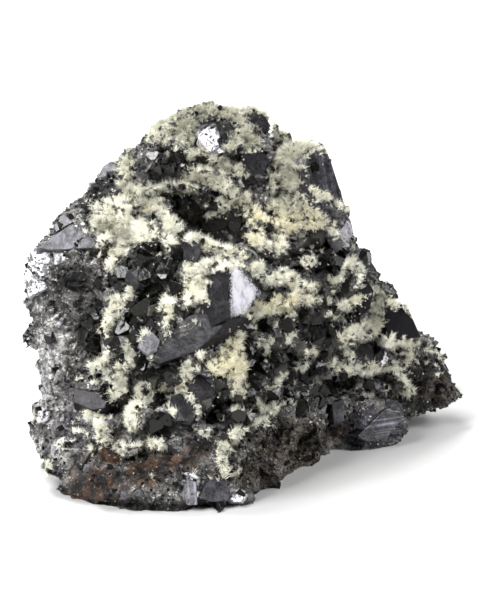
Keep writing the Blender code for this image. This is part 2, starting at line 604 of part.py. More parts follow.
def behind_front(tree, centre, radius):
    """Whether the front shows nothing of a crystal here, neither on it nor past its outline."""
    for across, up in ((0, 0), (1, 0), (-1, 0), (0, 1), (0, -1)):
        edge = centre + (FRONT.right * across + FRONT.up * up) * radius * 1.75
        way = edge - FRONT.eye
        reach = tree.ray_cast(FRONT.eye, way.normalized())[3]
        if reach is None or reach > way.length - 1.8 * radius:
            return False
    return True


def tree_of(meshes):
    """A tree of all the faces of the meshes, to find where a line of sight meets them."""
    points, faces = [], []
    for mesh in meshes:
        first = len(points)
        points += [v.co.copy() for v in mesh.vertices]
        faces += [[first + index for index in p.vertices] for p in mesh.polygons]
    return BVHTree.FromPolygons(points, faces)


def add_crystals(grown, shape, placements):
    """Puts a crystal of this shape at each placement."""
    for placement in placements:
        mesh = shape.copy()
        mesh.transform(placement)
        grown.objects.link(bpy.data.objects.new(shape.name, mesh))


def grown_together(body, grown, name):
    """The mesh of the body with everything in the collection joined to it.

    The manifold solver is used because roughening leaves the body's skin crossing itself here
    and there, which the exact solver keeps as open edges.
    """
    host = add_object(name, body)
    join = host.modifiers.new("grown together", "BOOLEAN")
    join.operation = "UNION"
    join.solver = "MANIFOLD"
    join.operand_type = "COLLECTION"
    join.collection = grown
    mesh = applied(host, name)
    for obj in list(grown.objects):
        bpy.data.objects.remove(obj, do_unlink=True)
    keep_outer_skin(mesh)
    return mesh


def keep_outer_skin(mesh):
    """Fills the hollows shut in behind crystals, by removing every skin but the largest."""
    bm = bmesh.new()
    bm.from_mesh(mesh)
    left, skins = set(bm.faces), []
    while left:
        skin, edge_of_skin = set(), [left.pop()]
        while edge_of_skin:
            face = edge_of_skin.pop()
            skin.add(face)
            beside = {other for edge in face.edges for other in edge.link_faces} & left
            left -= beside
            edge_of_skin.extend(beside)
        skins.append(skin)
    largest = max(skins, key=len)
    inner = [face for skin in skins if skin is not largest for face in skin]
    bmesh.ops.delete(bm, geom=inner, context="FACES")
    bm.to_mesh(mesh)
    bm.free()


def ore_material():
    material = bpy.data.materials.new("galena ore")
    material.use_nodes = True
    shader = material.node_tree.nodes["Principled BSDF"]
    shader.inputs["Base Color"].default_value = ORE_COLOUR
    shader.inputs["Roughness"].default_value = ORE_ROUGHNESS
    shader.inputs["Metallic"].default_value = ORE_METALLIC
    material.diffuse_color = ORE_COLOUR
    return material


def main():
    clear_scene()
    body = body_mesh()
    grown = bpy.data.collections.new("grown on the body")
    bpy.context.scene.collection.children.link(grown)
    for name, corners in BLOCKS.items():
        grown.objects.link(bpy.data.objects.new(name, hulls_mesh(name, [corners])))
    tree = tree_of([body] + [block.data for block in grown.objects])
    for lean, corners in FLAT_CRYSTALS:
        crystal = flat_crystal(tree, lean, corners)
        grown.objects.link(bpy.data.objects.new("flat_crystal", crystal))
    add_crystals(
        grown, galena_shape(), front_crystals(tree, GALENA, GALENA_SIZE, GALENA_SINK, 100)
    )
    add_crystals(
        grown, cleaved_shape(),
        front_crystals(tree, BROKEN_GALENA, GALENA_SIZE, GALENA_SINK, 200),
    )
    add_crystals(
        grown, sphalerite_shape(),
        front_crystals(tree, SPHALERITE, SPHALERITE_SIZE, SPHALERITE_SINK, 300),
    )
    add_crystals(grown, cleaved_shape(), side_crystals(tree))
    specimen = grown_together(body, grown, "galena_specimen")
    specimen.materials.clear()
    specimen.materials.append(ore_material())
    add_object("galena_specimen", specimen)
    bpy.data.collections.remove(grown)


main()
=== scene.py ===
"""Galena specimen: broken lead ore with galena and sphalerite crystals and a pale druse.

Places on the front are given as (column, row) on a grid that is looked at from the front and a
little above, one step for each pixel of a view 480 wide and 605 high. All else is in metres.
"""

import math
import random

import bmesh
import bpy
import numpy as np
from bpy.props import FloatProperty, FloatVectorProperty, IntProperty, PointerProperty
from mathutils import Euler, Matrix, Vector, noise
from mathutils.bvhtree import BVHTree
from mathutils.kdtree import KDTree


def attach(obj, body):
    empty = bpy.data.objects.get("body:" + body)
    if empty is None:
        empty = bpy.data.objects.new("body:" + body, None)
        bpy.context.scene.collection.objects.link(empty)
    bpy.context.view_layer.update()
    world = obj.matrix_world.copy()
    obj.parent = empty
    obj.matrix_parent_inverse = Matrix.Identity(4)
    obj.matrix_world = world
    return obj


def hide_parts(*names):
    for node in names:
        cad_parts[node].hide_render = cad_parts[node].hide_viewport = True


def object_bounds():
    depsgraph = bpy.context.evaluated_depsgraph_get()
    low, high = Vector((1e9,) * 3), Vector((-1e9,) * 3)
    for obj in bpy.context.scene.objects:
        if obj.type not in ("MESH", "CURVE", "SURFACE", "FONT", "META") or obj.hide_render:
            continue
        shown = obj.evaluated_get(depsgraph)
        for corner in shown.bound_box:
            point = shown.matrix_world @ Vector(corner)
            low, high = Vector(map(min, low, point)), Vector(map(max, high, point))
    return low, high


bl_info = {
    "name": "Galena specimen",
    "version": (1, 0, 0),
    "blender": (4, 5, 0),
    "location": "View3D > Sidebar > Galena",
    "description": "Builds the ore, crystals and druse of a galena specimen on its plain solid",
    "category": "Object",
}

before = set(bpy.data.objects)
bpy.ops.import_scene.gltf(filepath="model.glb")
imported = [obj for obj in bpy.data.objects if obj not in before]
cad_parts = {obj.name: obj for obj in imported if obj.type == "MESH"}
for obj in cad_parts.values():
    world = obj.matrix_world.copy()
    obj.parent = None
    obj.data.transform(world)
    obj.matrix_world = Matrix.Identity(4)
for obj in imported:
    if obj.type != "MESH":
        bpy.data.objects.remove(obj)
CAD_NODE = "galena_specimen"
CAD_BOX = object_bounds()

# The grid that the front's places are given on
GRID_STEP = 0.140 / 436
GRID_CENTRE = (240.0, 302.5)
GRID_ROWS = 605
EYE_DISTANCE = 0.70
EYE_ELEVATION = math.radians(18)
LOOKED_AT = Vector((0.0, 0.0, 0.055))
SENSOR_HEIGHT = 36.0  # of the camera, in millimetres

MERGE_DISTANCE = 1e-5  # points closer than this become one
FLATTENED = math.radians(4)  # edges of crystals that bend less than this are taken out
LARGE_WEAR, FLAT_WEAR = 0.00025, 0.00018  # width of the worn edges of large and flat crystals
GALENA_WEAR, SPHALERITE_WEAR = 0.03, 0.02  # the same for the other crystals, in radii
FACE_CUTS = 7  # across each edge of the large crystals, so that frost can fade on their faces
# Flat crystals: how far in from their corners the solid's depth is measured, as a share of the
# way to the middle; how much of the solid there they lie in front of, and by how much; how much
# wider their back is, and how much deeper than their face's size
FLAT_MEASURED, FLAT_SHARE, FLAT_PROUD = 0.2, 0.65, 0.0001
FLAT_FLARE, FLAT_DEPTH = 0.3, 0.003
LOWEST_FACE = 0.0006  # no flat face reaches closer to the base than this
# Ore this near a crystal gives way to it, and lies this much deeper where it meets it
CRYSTAL_MARGIN, CRYSTAL_BED = 0.0008, 0.0007
BASE_MARGIN = 0.0012  # what is lower than this and faces down is the base
# Seeds of the random draws, and the numbers that crystals and grains of ore count on from
GRAIN_SEED, FILL_SEED, CHIP_SEED, TUFT_SEED = 7, 21, 33, 55
GALENA_TONE_SEED, SPHALERITE_TONE_SEED = 3, 4
FIRST_GALENA, FIRST_SPHALERITE, FIRST_GRAIN = 100, 300, 1000
# How far a band and a zone reach from their middle, in half widths, and how fast a band rises
BAND_REACH, ZONE_REACH, BAND_RISE = 1.15, 1.5, 1.6
# Noise that shapes the druse, as (strength, size) pairs; the wobble is in grid steps
DRUSE_WOBBLE = ((4.5, 0.0035), (2.0, 0.0012))
DRUSE_GAPS = ((1.0, 0.0022), (0.4, 0.0009))
DRUSE_PATCHES = ((1.0, 1.0 / 55.0), (0.5, 1.0 / 140.0))
DENSE_DRUSE = 0.22  # how much fuller the dense zones are
LEAST_DRUSE = 0.06  # a share of druse below this grows only a dust of short tufts
LOWEST_ROOT, LOW_ROOT = 0.002, 0.005  # no needle grows below the one or points down below the other
TUFT_SPREAD = 0.45  # how far needles lean away from their tuft's axis
TUFT_SWIRL = 0.6  # how far tufts lean away from the surface's normal
TUFT_WIDTH = 0.0003  # across the roots of a tuft
# Sizes of noise: edges of zones, their patches on the other sides, and patches of colour
ZONE_EDGE, ZONE_PATCH, DRUSE_COLOUR_PATCH = 0.003, 0.022, 0.006
# Small sphalerites and cleaved cubes: least height of their places, and how deep their centres
# lie in the ore, in radii
LOWEST_FILL, LOWEST_CHIP = 0.006, 0.003
FILL_DEPTH, CHIP_DEPTH = 0.2, 0.45
FILL_PATCH = 0.018  # size of the patches of small sphalerites on the other sides

# Large crystals: tone, front corners as (column, row, depth), and hidden corners as (x, y, z)
LARGE_CRYSTALS = {
    "upper_right_crystal": (
        0.18,
        [(276, 162, 0.0120), (284, 148, 0.0100), (298, 140, 0.0100), (314, 139, 0.0120),
         (324, 144, 0.0130), (331, 161, 0.0110), (345, 205, 0.0105), (352, 232, 0.0120),
         (345, 243, 0.0080), (323, 152, 0.0097), (307, 159, 0.0045), (302, 170, 0.0020),
         (303, 187, 0.0006), (313, 196, 0.0025), (284, 225, 0.0000)],
        [(0.026, 0.030, 0.090), (0.019, 0.030, 0.091), (0.031, 0.038, 0.064)],
    ),
    "right_crystal": (
        0.0,
        [(384, 301, 0.018), (407, 305, 0.022), (421, 337, 0.024), (388, 342, 0.012)],
        [(0.049, 0.046, 0.032), (0.056, 0.044, 0.030), (0.060, 0.048, 0.022),
         (0.044, 0.040, 0.022)],
    ),
    "middle_crystal": (
        0.12,
        [(210, 275, -0.0254), (228, 266, -0.0290), (236, 261, -0.0246), (262, 292, -0.0160),
         (245, 314, -0.0270), (229, 318, -0.0350), (203, 332, -0.0300), (197, 318, -0.0269)],
        [(-0.008, -0.006, 0.050), (0.008, -0.002, 0.062), (-0.002, -0.002, 0.070)],
    ),
}
LINES_ACROSS = (0.30, 0.26, 0.0)  # what the growth lines on the large crystals lie across
# Outline of the etched face of the middle crystal, and how its frost fades: over how many
# grid steps, and to what at the edge
ETCHED_FACE = [(228, 264), (236, 260), (263, 292), (246, 316), (229, 320)]
ETCHED_FADE, ETCHED_LEAST = 14.0, 0.3

# Druse on the front: lines that it follows, through (column, row, half width in grid steps)
DRUSE_BANDS = [
    [(152, 137, 6), (163, 128, 10), (176, 122, 9)],
    [(184, 134, 8), (188, 120, 11), (200, 110, 10), (216, 107, 8), (226, 110, 6)],
    [(148, 141, 3), (165, 140, 4), (180, 141, 5), (192, 142, 5)],
    [(131, 151, 4), (127, 160, 8), (126, 172, 9), (126, 184, 8), (128, 196, 8)],
    [(168, 156, 2.5), (177, 153, 4), (190, 155, 6), (206, 158, 7),
     (222, 164, 8), (237, 169, 7), (244, 173, 4)],
    [(184, 179, 3), (192, 176, 6), (204, 176, 8), (216, 179, 9), (226, 186, 7), (234, 191, 4)],
    [(128, 197, 7), (142, 190, 7), (158, 189, 6), (172, 187, 7), (186, 187, 7), (195, 190, 4)],
    [(94, 208, 6), (106, 206, 9), (122, 206, 10), (138, 205, 9), (152, 206, 7)],
    [(97, 222, 9), (112, 222, 12), (130, 224, 13), (146, 231, 10), (154, 236, 6)],
    [(103, 240, 8), (118, 241, 10), (134, 238, 9)],
    [(122, 248, 9), (114, 256, 7), (109, 268, 5)],
    [(168, 220, 8), (174, 228, 10), (179, 226, 7)],
    [(166, 238, 7), (172, 248, 8), (172, 256, 6)],
    [(160, 202, 6), (165, 212, 6)],
    [(210, 212, 7), (222, 206, 8), (236, 202, 8), (246, 200, 8)],
    [(186, 238, 5), (196, 241, 7), (206, 245, 6)],
    [(212, 246, 6), (226, 250, 8), (240, 258, 8)],
    [(232, 113, 8), (245, 108, 7), (258, 109, 6), (270, 116, 5)],
    [(238, 124, 7), (247, 130, 8)],
    [(232, 138, 6), (246, 139, 6), (258, 138, 5)],
    [(228, 147, 5), (242, 146, 7), (256, 147, 6), (264, 149, 4)],
    [(275, 124, 4), (277, 136, 4)],
    [(283, 134, 4), (285, 142, 3)],
    [(286, 150, 10), (290, 164, 14), (291, 181, 14), (294, 194, 10)],
    [(292, 150, 10), (303, 149, 11), (315, 147, 8), (323, 149, 5)],
    [(275, 160, 5), (274, 175, 6), (272, 190, 6)],
    [(250, 210, 10), (258, 222, 10), (256, 236, 9), (262, 246, 8)],
    [(272, 206, 8), (290, 203, 8), (306, 200, 6)],
    [(284, 214, 9), (300, 212, 9), (316, 216, 9), (328, 225, 7)],
    [(298, 198, 5), (312, 195, 5), (326, 199, 5), (338, 206, 4), (346, 212, 3)],
    [(284, 229, 8), (298, 228, 8), (312, 224, 7)],
    [(276, 240, 6), (280, 252, 7)],
    [(272, 222, 6), (278, 226, 6)],
    [(330, 232, 4), (336, 240, 4)],
    [(302, 264, 5), (310, 261, 6)],
    [(132, 294, 7), (122, 302, 9), (112, 313, 8)],
    [(108, 320, 6), (104, 332, 5)],
    [(168, 300, 7), (169, 315, 6), (166, 333, 5)],
    [(190, 270, 9), (194, 285, 11), (192, 300, 9), (184, 306, 5)],
    [(205, 266, 8), (218, 265, 8), (227, 270, 6)],
    [(205, 285, 7), (202, 298, 6)],
    [(238, 335, 8), (232, 350, 11), (224, 362, 12), (214, 368, 9)],
    [(238, 362, 10), (238, 378, 9), (240, 392, 8)],
    [(200, 350, 6), (195, 362, 8), (186, 372, 8), (178, 384, 8), (166, 388, 7), (160, 386, 6)],
    [(190, 386, 6), (186, 392, 5), (194, 402, 4)],
    [(148, 390, 9), (140, 402, 9), (134, 414, 9), (132, 424, 8)],
    [(122, 370, 8), (116, 384, 10), (110, 396, 9)],
    [(106, 372, 5), (98, 366, 5)],
    [(128, 346, 5), (130, 362, 6)],
    [(112, 352, 4), (100, 362, 4), (94, 370, 5)],
    [(140, 338, 3), (147, 332, 3)],
    [(244, 258, 8), (256, 268, 8), (264, 280, 6)],
    [(264, 280, 6), (276, 278, 8), (290, 276, 7), (300, 281, 5)],
    [(248, 316, 7), (258, 311, 8), (270, 308, 8), (284, 302, 10), (298, 298, 9), (308, 300, 6)],
    [(292, 290, 7), (300, 288, 5)],
    [(294, 317, 4), (300, 318, 4)],
    [(306, 286, 5), (314, 288, 6)],
    [(320, 299, 5), (328, 304, 4)],
    [(352, 263, 6), (342, 272, 6), (333, 285, 5)],
    [(354, 265, 5), (359, 275, 3), (357, 286, 3)],
    [(330, 314, 5), (340, 309, 7), (350, 303, 7), (358, 297, 5)],
    [(376, 290, 7), (380, 302, 7), (379, 316, 7), (375, 330, 7)],
    [(348, 334, 6), (358, 332, 9), (368, 328, 9), (374, 322, 7)],
    [(344, 332, 5), (346, 346, 6), (350, 356, 6)],
    [(329, 364, 5), (338, 368, 7), (348, 369, 6), (362, 367, 6),
     (378, 366, 6), (392, 367, 5), (398, 370, 4)],
    [(262, 341, 5), (272, 340, 6), (266, 350, 5)],
    [(287, 341, 6), (292, 334, 4)],
    [(309, 349, 6), (304, 360, 6), (299, 368, 4)],
    [(283, 376, 4), (276, 384, 7), (269, 394, 5)],
    [(258, 404, 4), (266, 410, 5)],
    [(386, 302, 6), (398, 304, 6), (408, 308, 6), (414, 316, 4), (419, 327, 3)],
    [(404, 341, 4), (418, 346, 3), (432, 352, 3), (442, 358, 2)],
    [(384, 338, 4), (394, 343, 6), (403, 350, 6), (411, 357, 5)],
    [(407, 366, 4), (411, 371, 4)],
    [(398, 372, 4), (404, 382, 6), (409, 391, 6), (400, 392, 6)],
    [(384, 387, 3), (389, 388, 3)],
    [(90, 412, 4), (98, 420, 6), (104, 432, 8), (100, 446, 7), (94, 450, 5)],
    [(116, 448, 5), (128, 447, 6), (140, 446, 4)],
    [(148, 442, 4), (158, 446, 4), (172, 442, 4)],
    [(170, 402, 4), (172, 416, 4)],
    [(190, 398, 3), (198, 410, 4)],
    [(196, 430, 4), (208, 434, 5)],
    [(268, 420, 5), (256, 424, 6), (244, 429, 6), (232, 437, 7), (225, 448, 7), (222, 458, 5)],
    [(277, 402, 4), (272, 413, 5)],
    [(222, 466, 5), (230, 474, 5), (240, 472, 4)],
    [(46, 464, 4), (50, 472, 4)],
    [(62, 446, 5), (72, 444, 5)],
]

# Crystals that show one large flat face: mineral, tone from dark to pale, how far the face
#  leans to the right and up in degrees, and its corners as (column, row). Growth lines show on
#  the lined ones. The palest galena faces, of tone 0.9 and up, are painted glints: near-white
#  faces that stand for light reflected off them.
FLAT_CRYSTALS = [
    ("galena", 0.12, (-20, 10), [(197, 313), (185, 317), (170, 334), (151, 359), (159, 364),
        (183, 349), (197, 351), (219, 331), (229, 318)]),
    ("galena", 0.50, (0, 5), [(138, 347), (142, 335), (152, 332), (160, 340),
        (157, 352), (147, 355)]),
    ("galena", 0.14, (8, 22), [(187, 384), (200, 373), (214, 389), (216, 396),
        (205, 410), (197, 403), (189, 395)]),
    ("galena", 0.14, (-5, 18), [(171, 396), (180, 393), (195, 404), (196, 415),
        (190, 425), (175, 422), (169, 410)]),
    ("galena", 0.12, (5, -5), [(243, 154), (262, 152), (269, 160), (264, 175),
        (253, 185), (243, 176)]),
    ("galena", 0.16, (0, 8), [(181, 240), (190, 238), (199, 244), (201, 252),
        (196, 262), (184, 260)]),
    ("galena", 0.12, (-12, 18), [(75, 380), (102, 390), (108, 398), (105, 408),
        (92, 410), (73, 402)]),
    ("galena", 0.32, (-8, 16), [(53, 226), (64, 214), (73, 222), (56, 232)]),
    ("galena", 0.30, (-6, 18), [(37, 248), (53, 236), (72, 224), (95, 240),
        (93, 248), (72, 238), (50, 250)]),
    ("galena", 0.28, (-20, 22), [(97, 178), (103, 166), (111, 161), (117, 165),
        (116, 172), (104, 177)]),
    ("galena", 0.14, (5, 10), [(354, 349), (358, 343), (370, 344), (374, 351),
        (371, 364), (362, 364)]),
    ("galena", 0.14, (28, 5), [(372, 361), (383, 346), (385, 353), (381, 366)]),
    ("galena", 0.95, (35, 10), [(381, 361), (386, 351), (389, 359), (382, 367)]),
    ("galena", 0.06, (22, 5), [(358, 286), (364, 275), (374, 291), (370, 309),
        (362, 315), (356, 304)]),
    ("lined galena", 0.30, (10, -12), [(358, 436), (374, 425), (386, 409), (400, 412),
        (404, 417), (392, 431), (386, 439), (366, 442)]),
    ("galena", 0.25, (10, 5), [(199, 498), (210, 480), (223, 478), (231, 492),
        (228, 501), (213, 502)]),
    ("lined galena", 0.48, (0, -5), [(187, 480), (196, 484), (197, 505), (187, 505), (181, 495)]),
    ("galena", 0.30, (10, 5), [(332, 403), (344, 399), (344, 421), (334, 424)]),
    ("lined galena", 0.60, (28, 10), [(333, 221), (341, 216), (352, 224), (354, 234),
        (346, 245), (340, 237)]),
    ("galena", 0.97, (0, 15), [(201, 132), (208, 127), (215, 133), (219, 146),
        (211, 152), (204, 146), (198, 139)]),
    ("galena", 0.97, (-10, 10), [(32, 257), (44, 253), (51, 258), (47, 264), (35, 262)]),
    ("galena", 0.97, (-20, 5), [(27, 292), (35, 279), (44, 282), (47, 288),
        (37, 292), (29, 297)]),
    ("galena", 0.90, (-5, 5), [(55, 257), (60, 255), (61, 261), (57, 264)]),
    ("galena", 0.95, (-15, 5), [(38, 411), (50, 412), (47, 421), (41, 423)]),
    ("galena", 0.97, (5, 20), [(230, 498), (237, 494), (244, 497), (241, 502), (233, 502)]),
    ("galena", 0.10, (12, 8), [(222, 124), (230, 121), (236, 131), (231, 145), (223, 142)]),
    ("galena", 0.92, (0, 10), [(181, 473), (190, 472), (200, 477), (197, 479)]),
    ("galena", 0.30, (0, 5), [(119, 453), (126, 449), (131, 454), (124, 459)]),
    ("sphalerite", 0.00, (41, 8), [(312, 164), (316, 161), (320, 166), (319, 172), (314, 172)]),
    ("sphalerite", 0.30, (0, 25), [(230, 213), (243, 212), (241, 227), (235, 233), (228, 226)]),
    ("sphalerite", 0.22, (-5, -8), [(202, 220), (228, 219), (227, 227), (215, 233), (200, 231)]),
    ("sphalerite", 0.40, (8, 10), [(145, 239), (158, 237), (157, 248)]),
    ("sphalerite", 0.35, (-14, 0), [(130, 309), (145, 298), (150, 301), (148, 315), (134, 316)]),
    ("sphalerite", 0.65, (18, 5), [(149, 306), (157, 304), (157, 316), (148, 316)]),
    ("sphalerite", 0.20, (-10, 20), [(113, 268), (122, 265), (132, 269), (130, 278), (117, 278)]),
    ("sphalerite", 0.35, (-14, 5), [(290, 243), (297, 238), (308, 237), (304, 245), (295, 252)]),
    ("sphalerite", 0.45, (0, 28), [(309, 232), (318, 228), (324, 233), (320, 238), (311, 238)]),
    ("sphalerite", 0.30, (10, -8), [(321, 252), (330, 248), (331, 258), (323, 262)]),
    ("sphalerite", 0.40, (-22, 5), [(338, 295), (346, 278), (356, 276), (355, 289), (342, 304)]),
    ("sphalerite", 0.55, (0, 5), [(270, 364), (277, 359), (287, 363), (285, 372), (275, 375)]),
    ("sphalerite", 0.75, (0, 14), [(292, 342), (305, 340), (307, 347), (298, 352), (292, 348)]),
    ("sphalerite", 0.50, (10, 0), [(287, 368), (297, 370), (297, 374), (290, 377)]),
    ("sphalerite", 0.35, (0, 18), [(308, 317), (321, 316), (323, 323), (312, 325)]),
    ("sphalerite", 0.60, (10, 10), [(332, 338), (343, 337), (345, 343), (337, 349), (332, 345)]),
    ("sphalerite", 0.30, (-10, 14), [(273, 328), (281, 328), (283, 337), (276, 338)]),
    ("sphalerite", 0.50, (0, 5), [(216, 414), (222, 413), (223, 419), (217, 419)]),
    ("sphalerite", 0.45, (5, 10), [(232, 412), (238, 409), (247, 412), (245, 420),
        (237, 422), (232, 418)]),
    ("sphalerite", 0.42, (5, 5), [(248, 396), (255, 394), (256, 401), (250, 402)]),
    ("sphalerite", 0.40, (0, 10), [(233, 393), (243, 396), (242, 401), (235, 400)]),
    ("sphalerite", 0.60, (-5, 10), [(201, 401), (211, 398), (212, 405), (206, 410), (201, 407)]),
]

# Crystals on the front: (column, row, radius in grid steps)
SPHALERITE = [
    (149, 247, 13), (143, 276, 10), (155, 290, 9), (171, 268, 13), (177, 288, 9),
    (126, 328, 9), (112, 346, 10), (95, 346, 11), (121, 363, 10), (140, 362, 8),
    (136, 338, 8), (154, 404, 12), (121, 396, 8), (150, 373, 8), (222, 384, 8),
    (262, 368, 10), (250, 352, 9), (287, 326, 9), (316, 335, 11), (331, 326, 9),
    (306, 377, 9), (322, 356, 9), (331, 248, 9), (318, 262, 11), (335, 264, 10),
    (345, 254, 8), (304, 266, 8), (283, 262, 9), (264, 256, 12), (191, 211, 12),
    (172, 208, 8), (262, 178, 9), (242, 186, 8), (352, 320, 9), (324, 388, 11),
    (254, 158, 12), (219, 192, 11), (190, 196, 7), (240, 238, 8), (272, 300, 6),
    (256, 384, 8), (306, 398, 7), (284, 404, 7),
]
GALENA = [(258, 125, 12), (138, 278, 12)]
# Half an edge of the cube that each is cut from, in radii
GALENA_SIZE, SPHALERITE_SIZE = 0.75, 1.15
# How far out the cuts through the cube's corners lie, as shares of the way to the corners
CUBE_CORNER_CUT = 0.80
TETRAHEDRON_CUTS = (0.32, 0.41)
# Cubes of the sides and the back: azimuths that they are seen from, how many from each, where
# they are on the grid then, and half their edge
SIDE_AZIMUTHS = (75, 125, 180, 235, 285)
SIDE_CRYSTALS = 8
SIDE_COLUMNS, SIDE_ROWS = (90.0, 390.0), (120.0, 430.0)
SIDE_CRYSTAL_RADIUS = (0.0026, 0.0052)
# How far out from their centres and how far behind what the front shows they stay out of its
# sight, in radii; their corners lie 1.73 radii out
CUBE_REACH, HIDDEN_DEPTH = 1.75, 1.8

# Soft-edged zones of the front: (column, row, half width, half height) in grid steps
ZONES = {
    "rust": [
        (98, 480, 30, 16), (118, 456, 26, 12), (84, 492, 22, 9), (146, 472, 26, 14),
        (176, 462, 22, 9), (336, 432, 10, 7), (200, 448, 14, 8),
    ],
    "brown": [
        (284, 452, 34, 24), (252, 474, 26, 14), (300, 432, 26, 14), (232, 440, 12, 10),
        (142, 456, 24, 12), (436, 388, 16, 12),
    ],
    # These zones are partly silvery galena and partly painted highlight: near-white matt patches
    # where its faces would mirror the lights
    "silver": [
        (212, 139, 17, 15), (36, 266, 12, 18), (30, 292, 9, 12), (45, 414, 9, 9),
        (236, 497, 11, 7), (190, 482, 9, 6), (56, 258, 8, 6), (64, 447, 12, 8),
    ],
    # On the front the dark zones are painted shade, near-black ore in the recesses between
    # crystals, plus a darker strip along the base; on the other sides the ore has them in random
    # patches
    "dark": [
        (192, 214, 20, 20), (252, 173, 16, 14), (315, 258, 30, 22), (152, 266, 32, 26),
        (140, 318, 28, 20), (282, 362, 36, 22), (316, 330, 28, 20), (404, 320, 24, 22),
        (428, 384, 34, 34), (164, 166, 34, 15), (102, 190, 18, 20), (78, 284, 20, 16),
        (228, 134, 9, 11), (355, 296, 14, 26), (230, 410, 26, 20), (92, 330, 20, 20),
        (162, 425, 24, 12), (110, 502, 34, 7), (160, 507, 40, 6), (215, 508, 34, 5),
        (280, 492, 26, 7),
    ],
    "violet": [
        (376, 428, 36, 18), (200, 388, 16, 18), (184, 410, 18, 16), (74, 425, 16, 16),
        (322, 178, 26, 26), (360, 250, 16, 18), (44, 450, 14, 10),
    ],
    "pale": [
        (48, 362, 16, 34), (56, 330, 14, 16), (52, 400, 16, 22), (34, 300, 8, 12),
        (36, 448, 8, 16), (58, 452, 14, 10), (40, 470, 10, 12), (92, 412, 14, 12),
        (330, 198, 10, 8), (150, 212, 12, 8), (262, 140, 8, 10), (146, 206, 8, 14),
        (110, 345, 14, 10),
    ],
    "dense druse": [
        (228, 362, 22, 30), (196, 286, 15, 20), (275, 302, 30, 11), (126, 226, 28, 18),
        (118, 305, 14, 12), (134, 408, 12, 18), (175, 232, 12, 14), (212, 183, 26, 8),
        (304, 214, 24, 12), (290, 170, 14, 26), (402, 301, 18, 8), (366, 326, 16, 12),
        (227, 450, 12, 12), (168, 315, 8, 16), (256, 112, 16, 7),
    ],
    "yellow druse": [
        (228, 362, 24, 34), (275, 302, 34, 14), (296, 224, 28, 22), (166, 386, 22, 10),
        (250, 222, 18, 20),
    ],
    "olive druse": [
        (110, 226, 10, 7), (141, 214, 9, 6), (130, 236, 8, 5), (210, 118, 60, 34),
        (290, 174, 18, 34), (376, 312, 10, 20), (190, 172, 60, 26), (262, 145, 20, 24),
    ],
    "sphalerite": [
        (150, 300, 52, 70), (285, 345, 76, 60), (315, 255, 36, 28), (160, 385, 54, 34),
        (215, 220, 50, 26), (255, 172, 18, 22), (232, 408, 40, 22), (345, 320, 30, 50),
        (190, 160, 46, 12),
    ],
}
# Zones that colour the ore, and the noise above which its other sides have them too
ORE_ZONES = {
    "rust": 0.32, "brown": 0.3, "silver": 0.4, "dark": 0.0, "violet": 0.25, "pale": 0.3,
}


class Grid:
    """The grid of places as it is looked at from one side, at this azimuth in degrees."""

    def __init__(self, azimuth=0.0):
        turn = Matrix.Rotation(math.radians(azimuth), 3, "Z")
        sine, cosine = math.sin(EYE_ELEVATION), math.cos(EYE_ELEVATION)
        self.right = turn @ Vector((1.0, 0.0, 0.0))
        self.up = turn @ Vector((0.0, sine, cosine))
        self.to_eye = turn @ Vector((0.0, -cosine, sine))
        self.eye = LOOKED_AT + self.to_eye * EYE_DISTANCE

    def ray(self, column, row):
        """Direction of the line of sight through a place on the grid."""
        across = self.right * ((column - GRID_CENTRE[0]) * GRID_STEP)
        up = self.up * ((GRID_CENTRE[1] - row) * GRID_STEP)
        return (LOOKED_AT + across + up - self.eye).normalized()

    def seen(self, column, row, depth):
        """The point at this place on the grid whose world Y is the depth."""
        ray = self.ray(column, row)
        return self.eye + ray * ((depth - self.eye.y) / ray.y)

    def places(self, points):
        """(column, row) at which each of the points is seen, as an array."""
        rays = points - np.array(self.eye)
        rays = rays * (EYE_DISTANCE / -(rays @ np.array(self.to_eye)))[:, None]
        columns = GRID_CENTRE[0] + rays @ np.array(self.right) / GRID_STEP
        rows = GRID_CENTRE[1] - rays @ np.array(self.up) / GRID_STEP
        return np.stack([columns, rows], axis=1)


FRONT = Grid()
made = {}  # pieces and trees that later operators need, by name


# Shares of the surface: each function gives a value from 0 to 1 for each point


def line_distances(places, start, end):
    """How far each place is from a line, and how far along it its nearest point is (0 to 1)."""
    start, way = np.array(start, float), np.subtract(end, start).astype(float)
    along = np.clip((places - start) @ way / (way @ way), 0.0, 1.0)
    return np.linalg.norm(places - start - along[:, None] * way, axis=1), along


def band_shares(places):
    """1 along the middle of a band of druse, down to 0 a little past its edge."""
    best = np.zeros(len(places))
    for line in DRUSE_BANDS:
        for (*start, wide), (*end, then) in zip(line, line[1:]):
            away, along = line_distances(places, start, end)
            best = np.maximum(best, BAND_REACH - away / (wide + (then - wide) * along))
    return np.clip(BAND_RISE * best, 0.0, 1.0)


def zone_shares(places, name):
    """1 in the middle of a zone of this name, down to 0 at half as far again as its edge."""
    best = np.zeros(len(places))
    for column, row, half_width, half_height in ZONES[name]:
        away = (places - (column, row)) / (half_width, half_height)
        best = np.maximum(best, ZONE_REACH - np.linalg.norm(away, axis=1))
    return np.clip(best, 0.0, 1.0)


def noise_values(points, size, seed=0.0):
    """Smooth noise from about -1 to 1 whose features are about this size."""
    shift = Vector((seed * 17.3, seed * 5.9, seed * 11.1))
    return np.array([noise.noise(Vector(p) / size + shift) for p in points])


def layered_noise(points, layers, seed=0.0):
    """The sum of several layers of noise, each (strength, size)."""
    return sum(strength * noise_values(points, size, seed) for strength, size in layers)


def hashed(cells, seed):
    """A value from 0 to 1 for each row of whole numbers, the same for the same row."""
    spread = np.sin(cells @ np.array((127.1, 311.7, 74.7)) + seed * 53.1) * 43758.5453
    return spread - np.floor(spread)


def facing_front(normals):
    """1 on what faces the front's eye, 0 on what faces away, with a soft change between."""
    return np.clip(normals @ np.array(FRONT.to_eye) * 6.0, 0.0, 1.0)


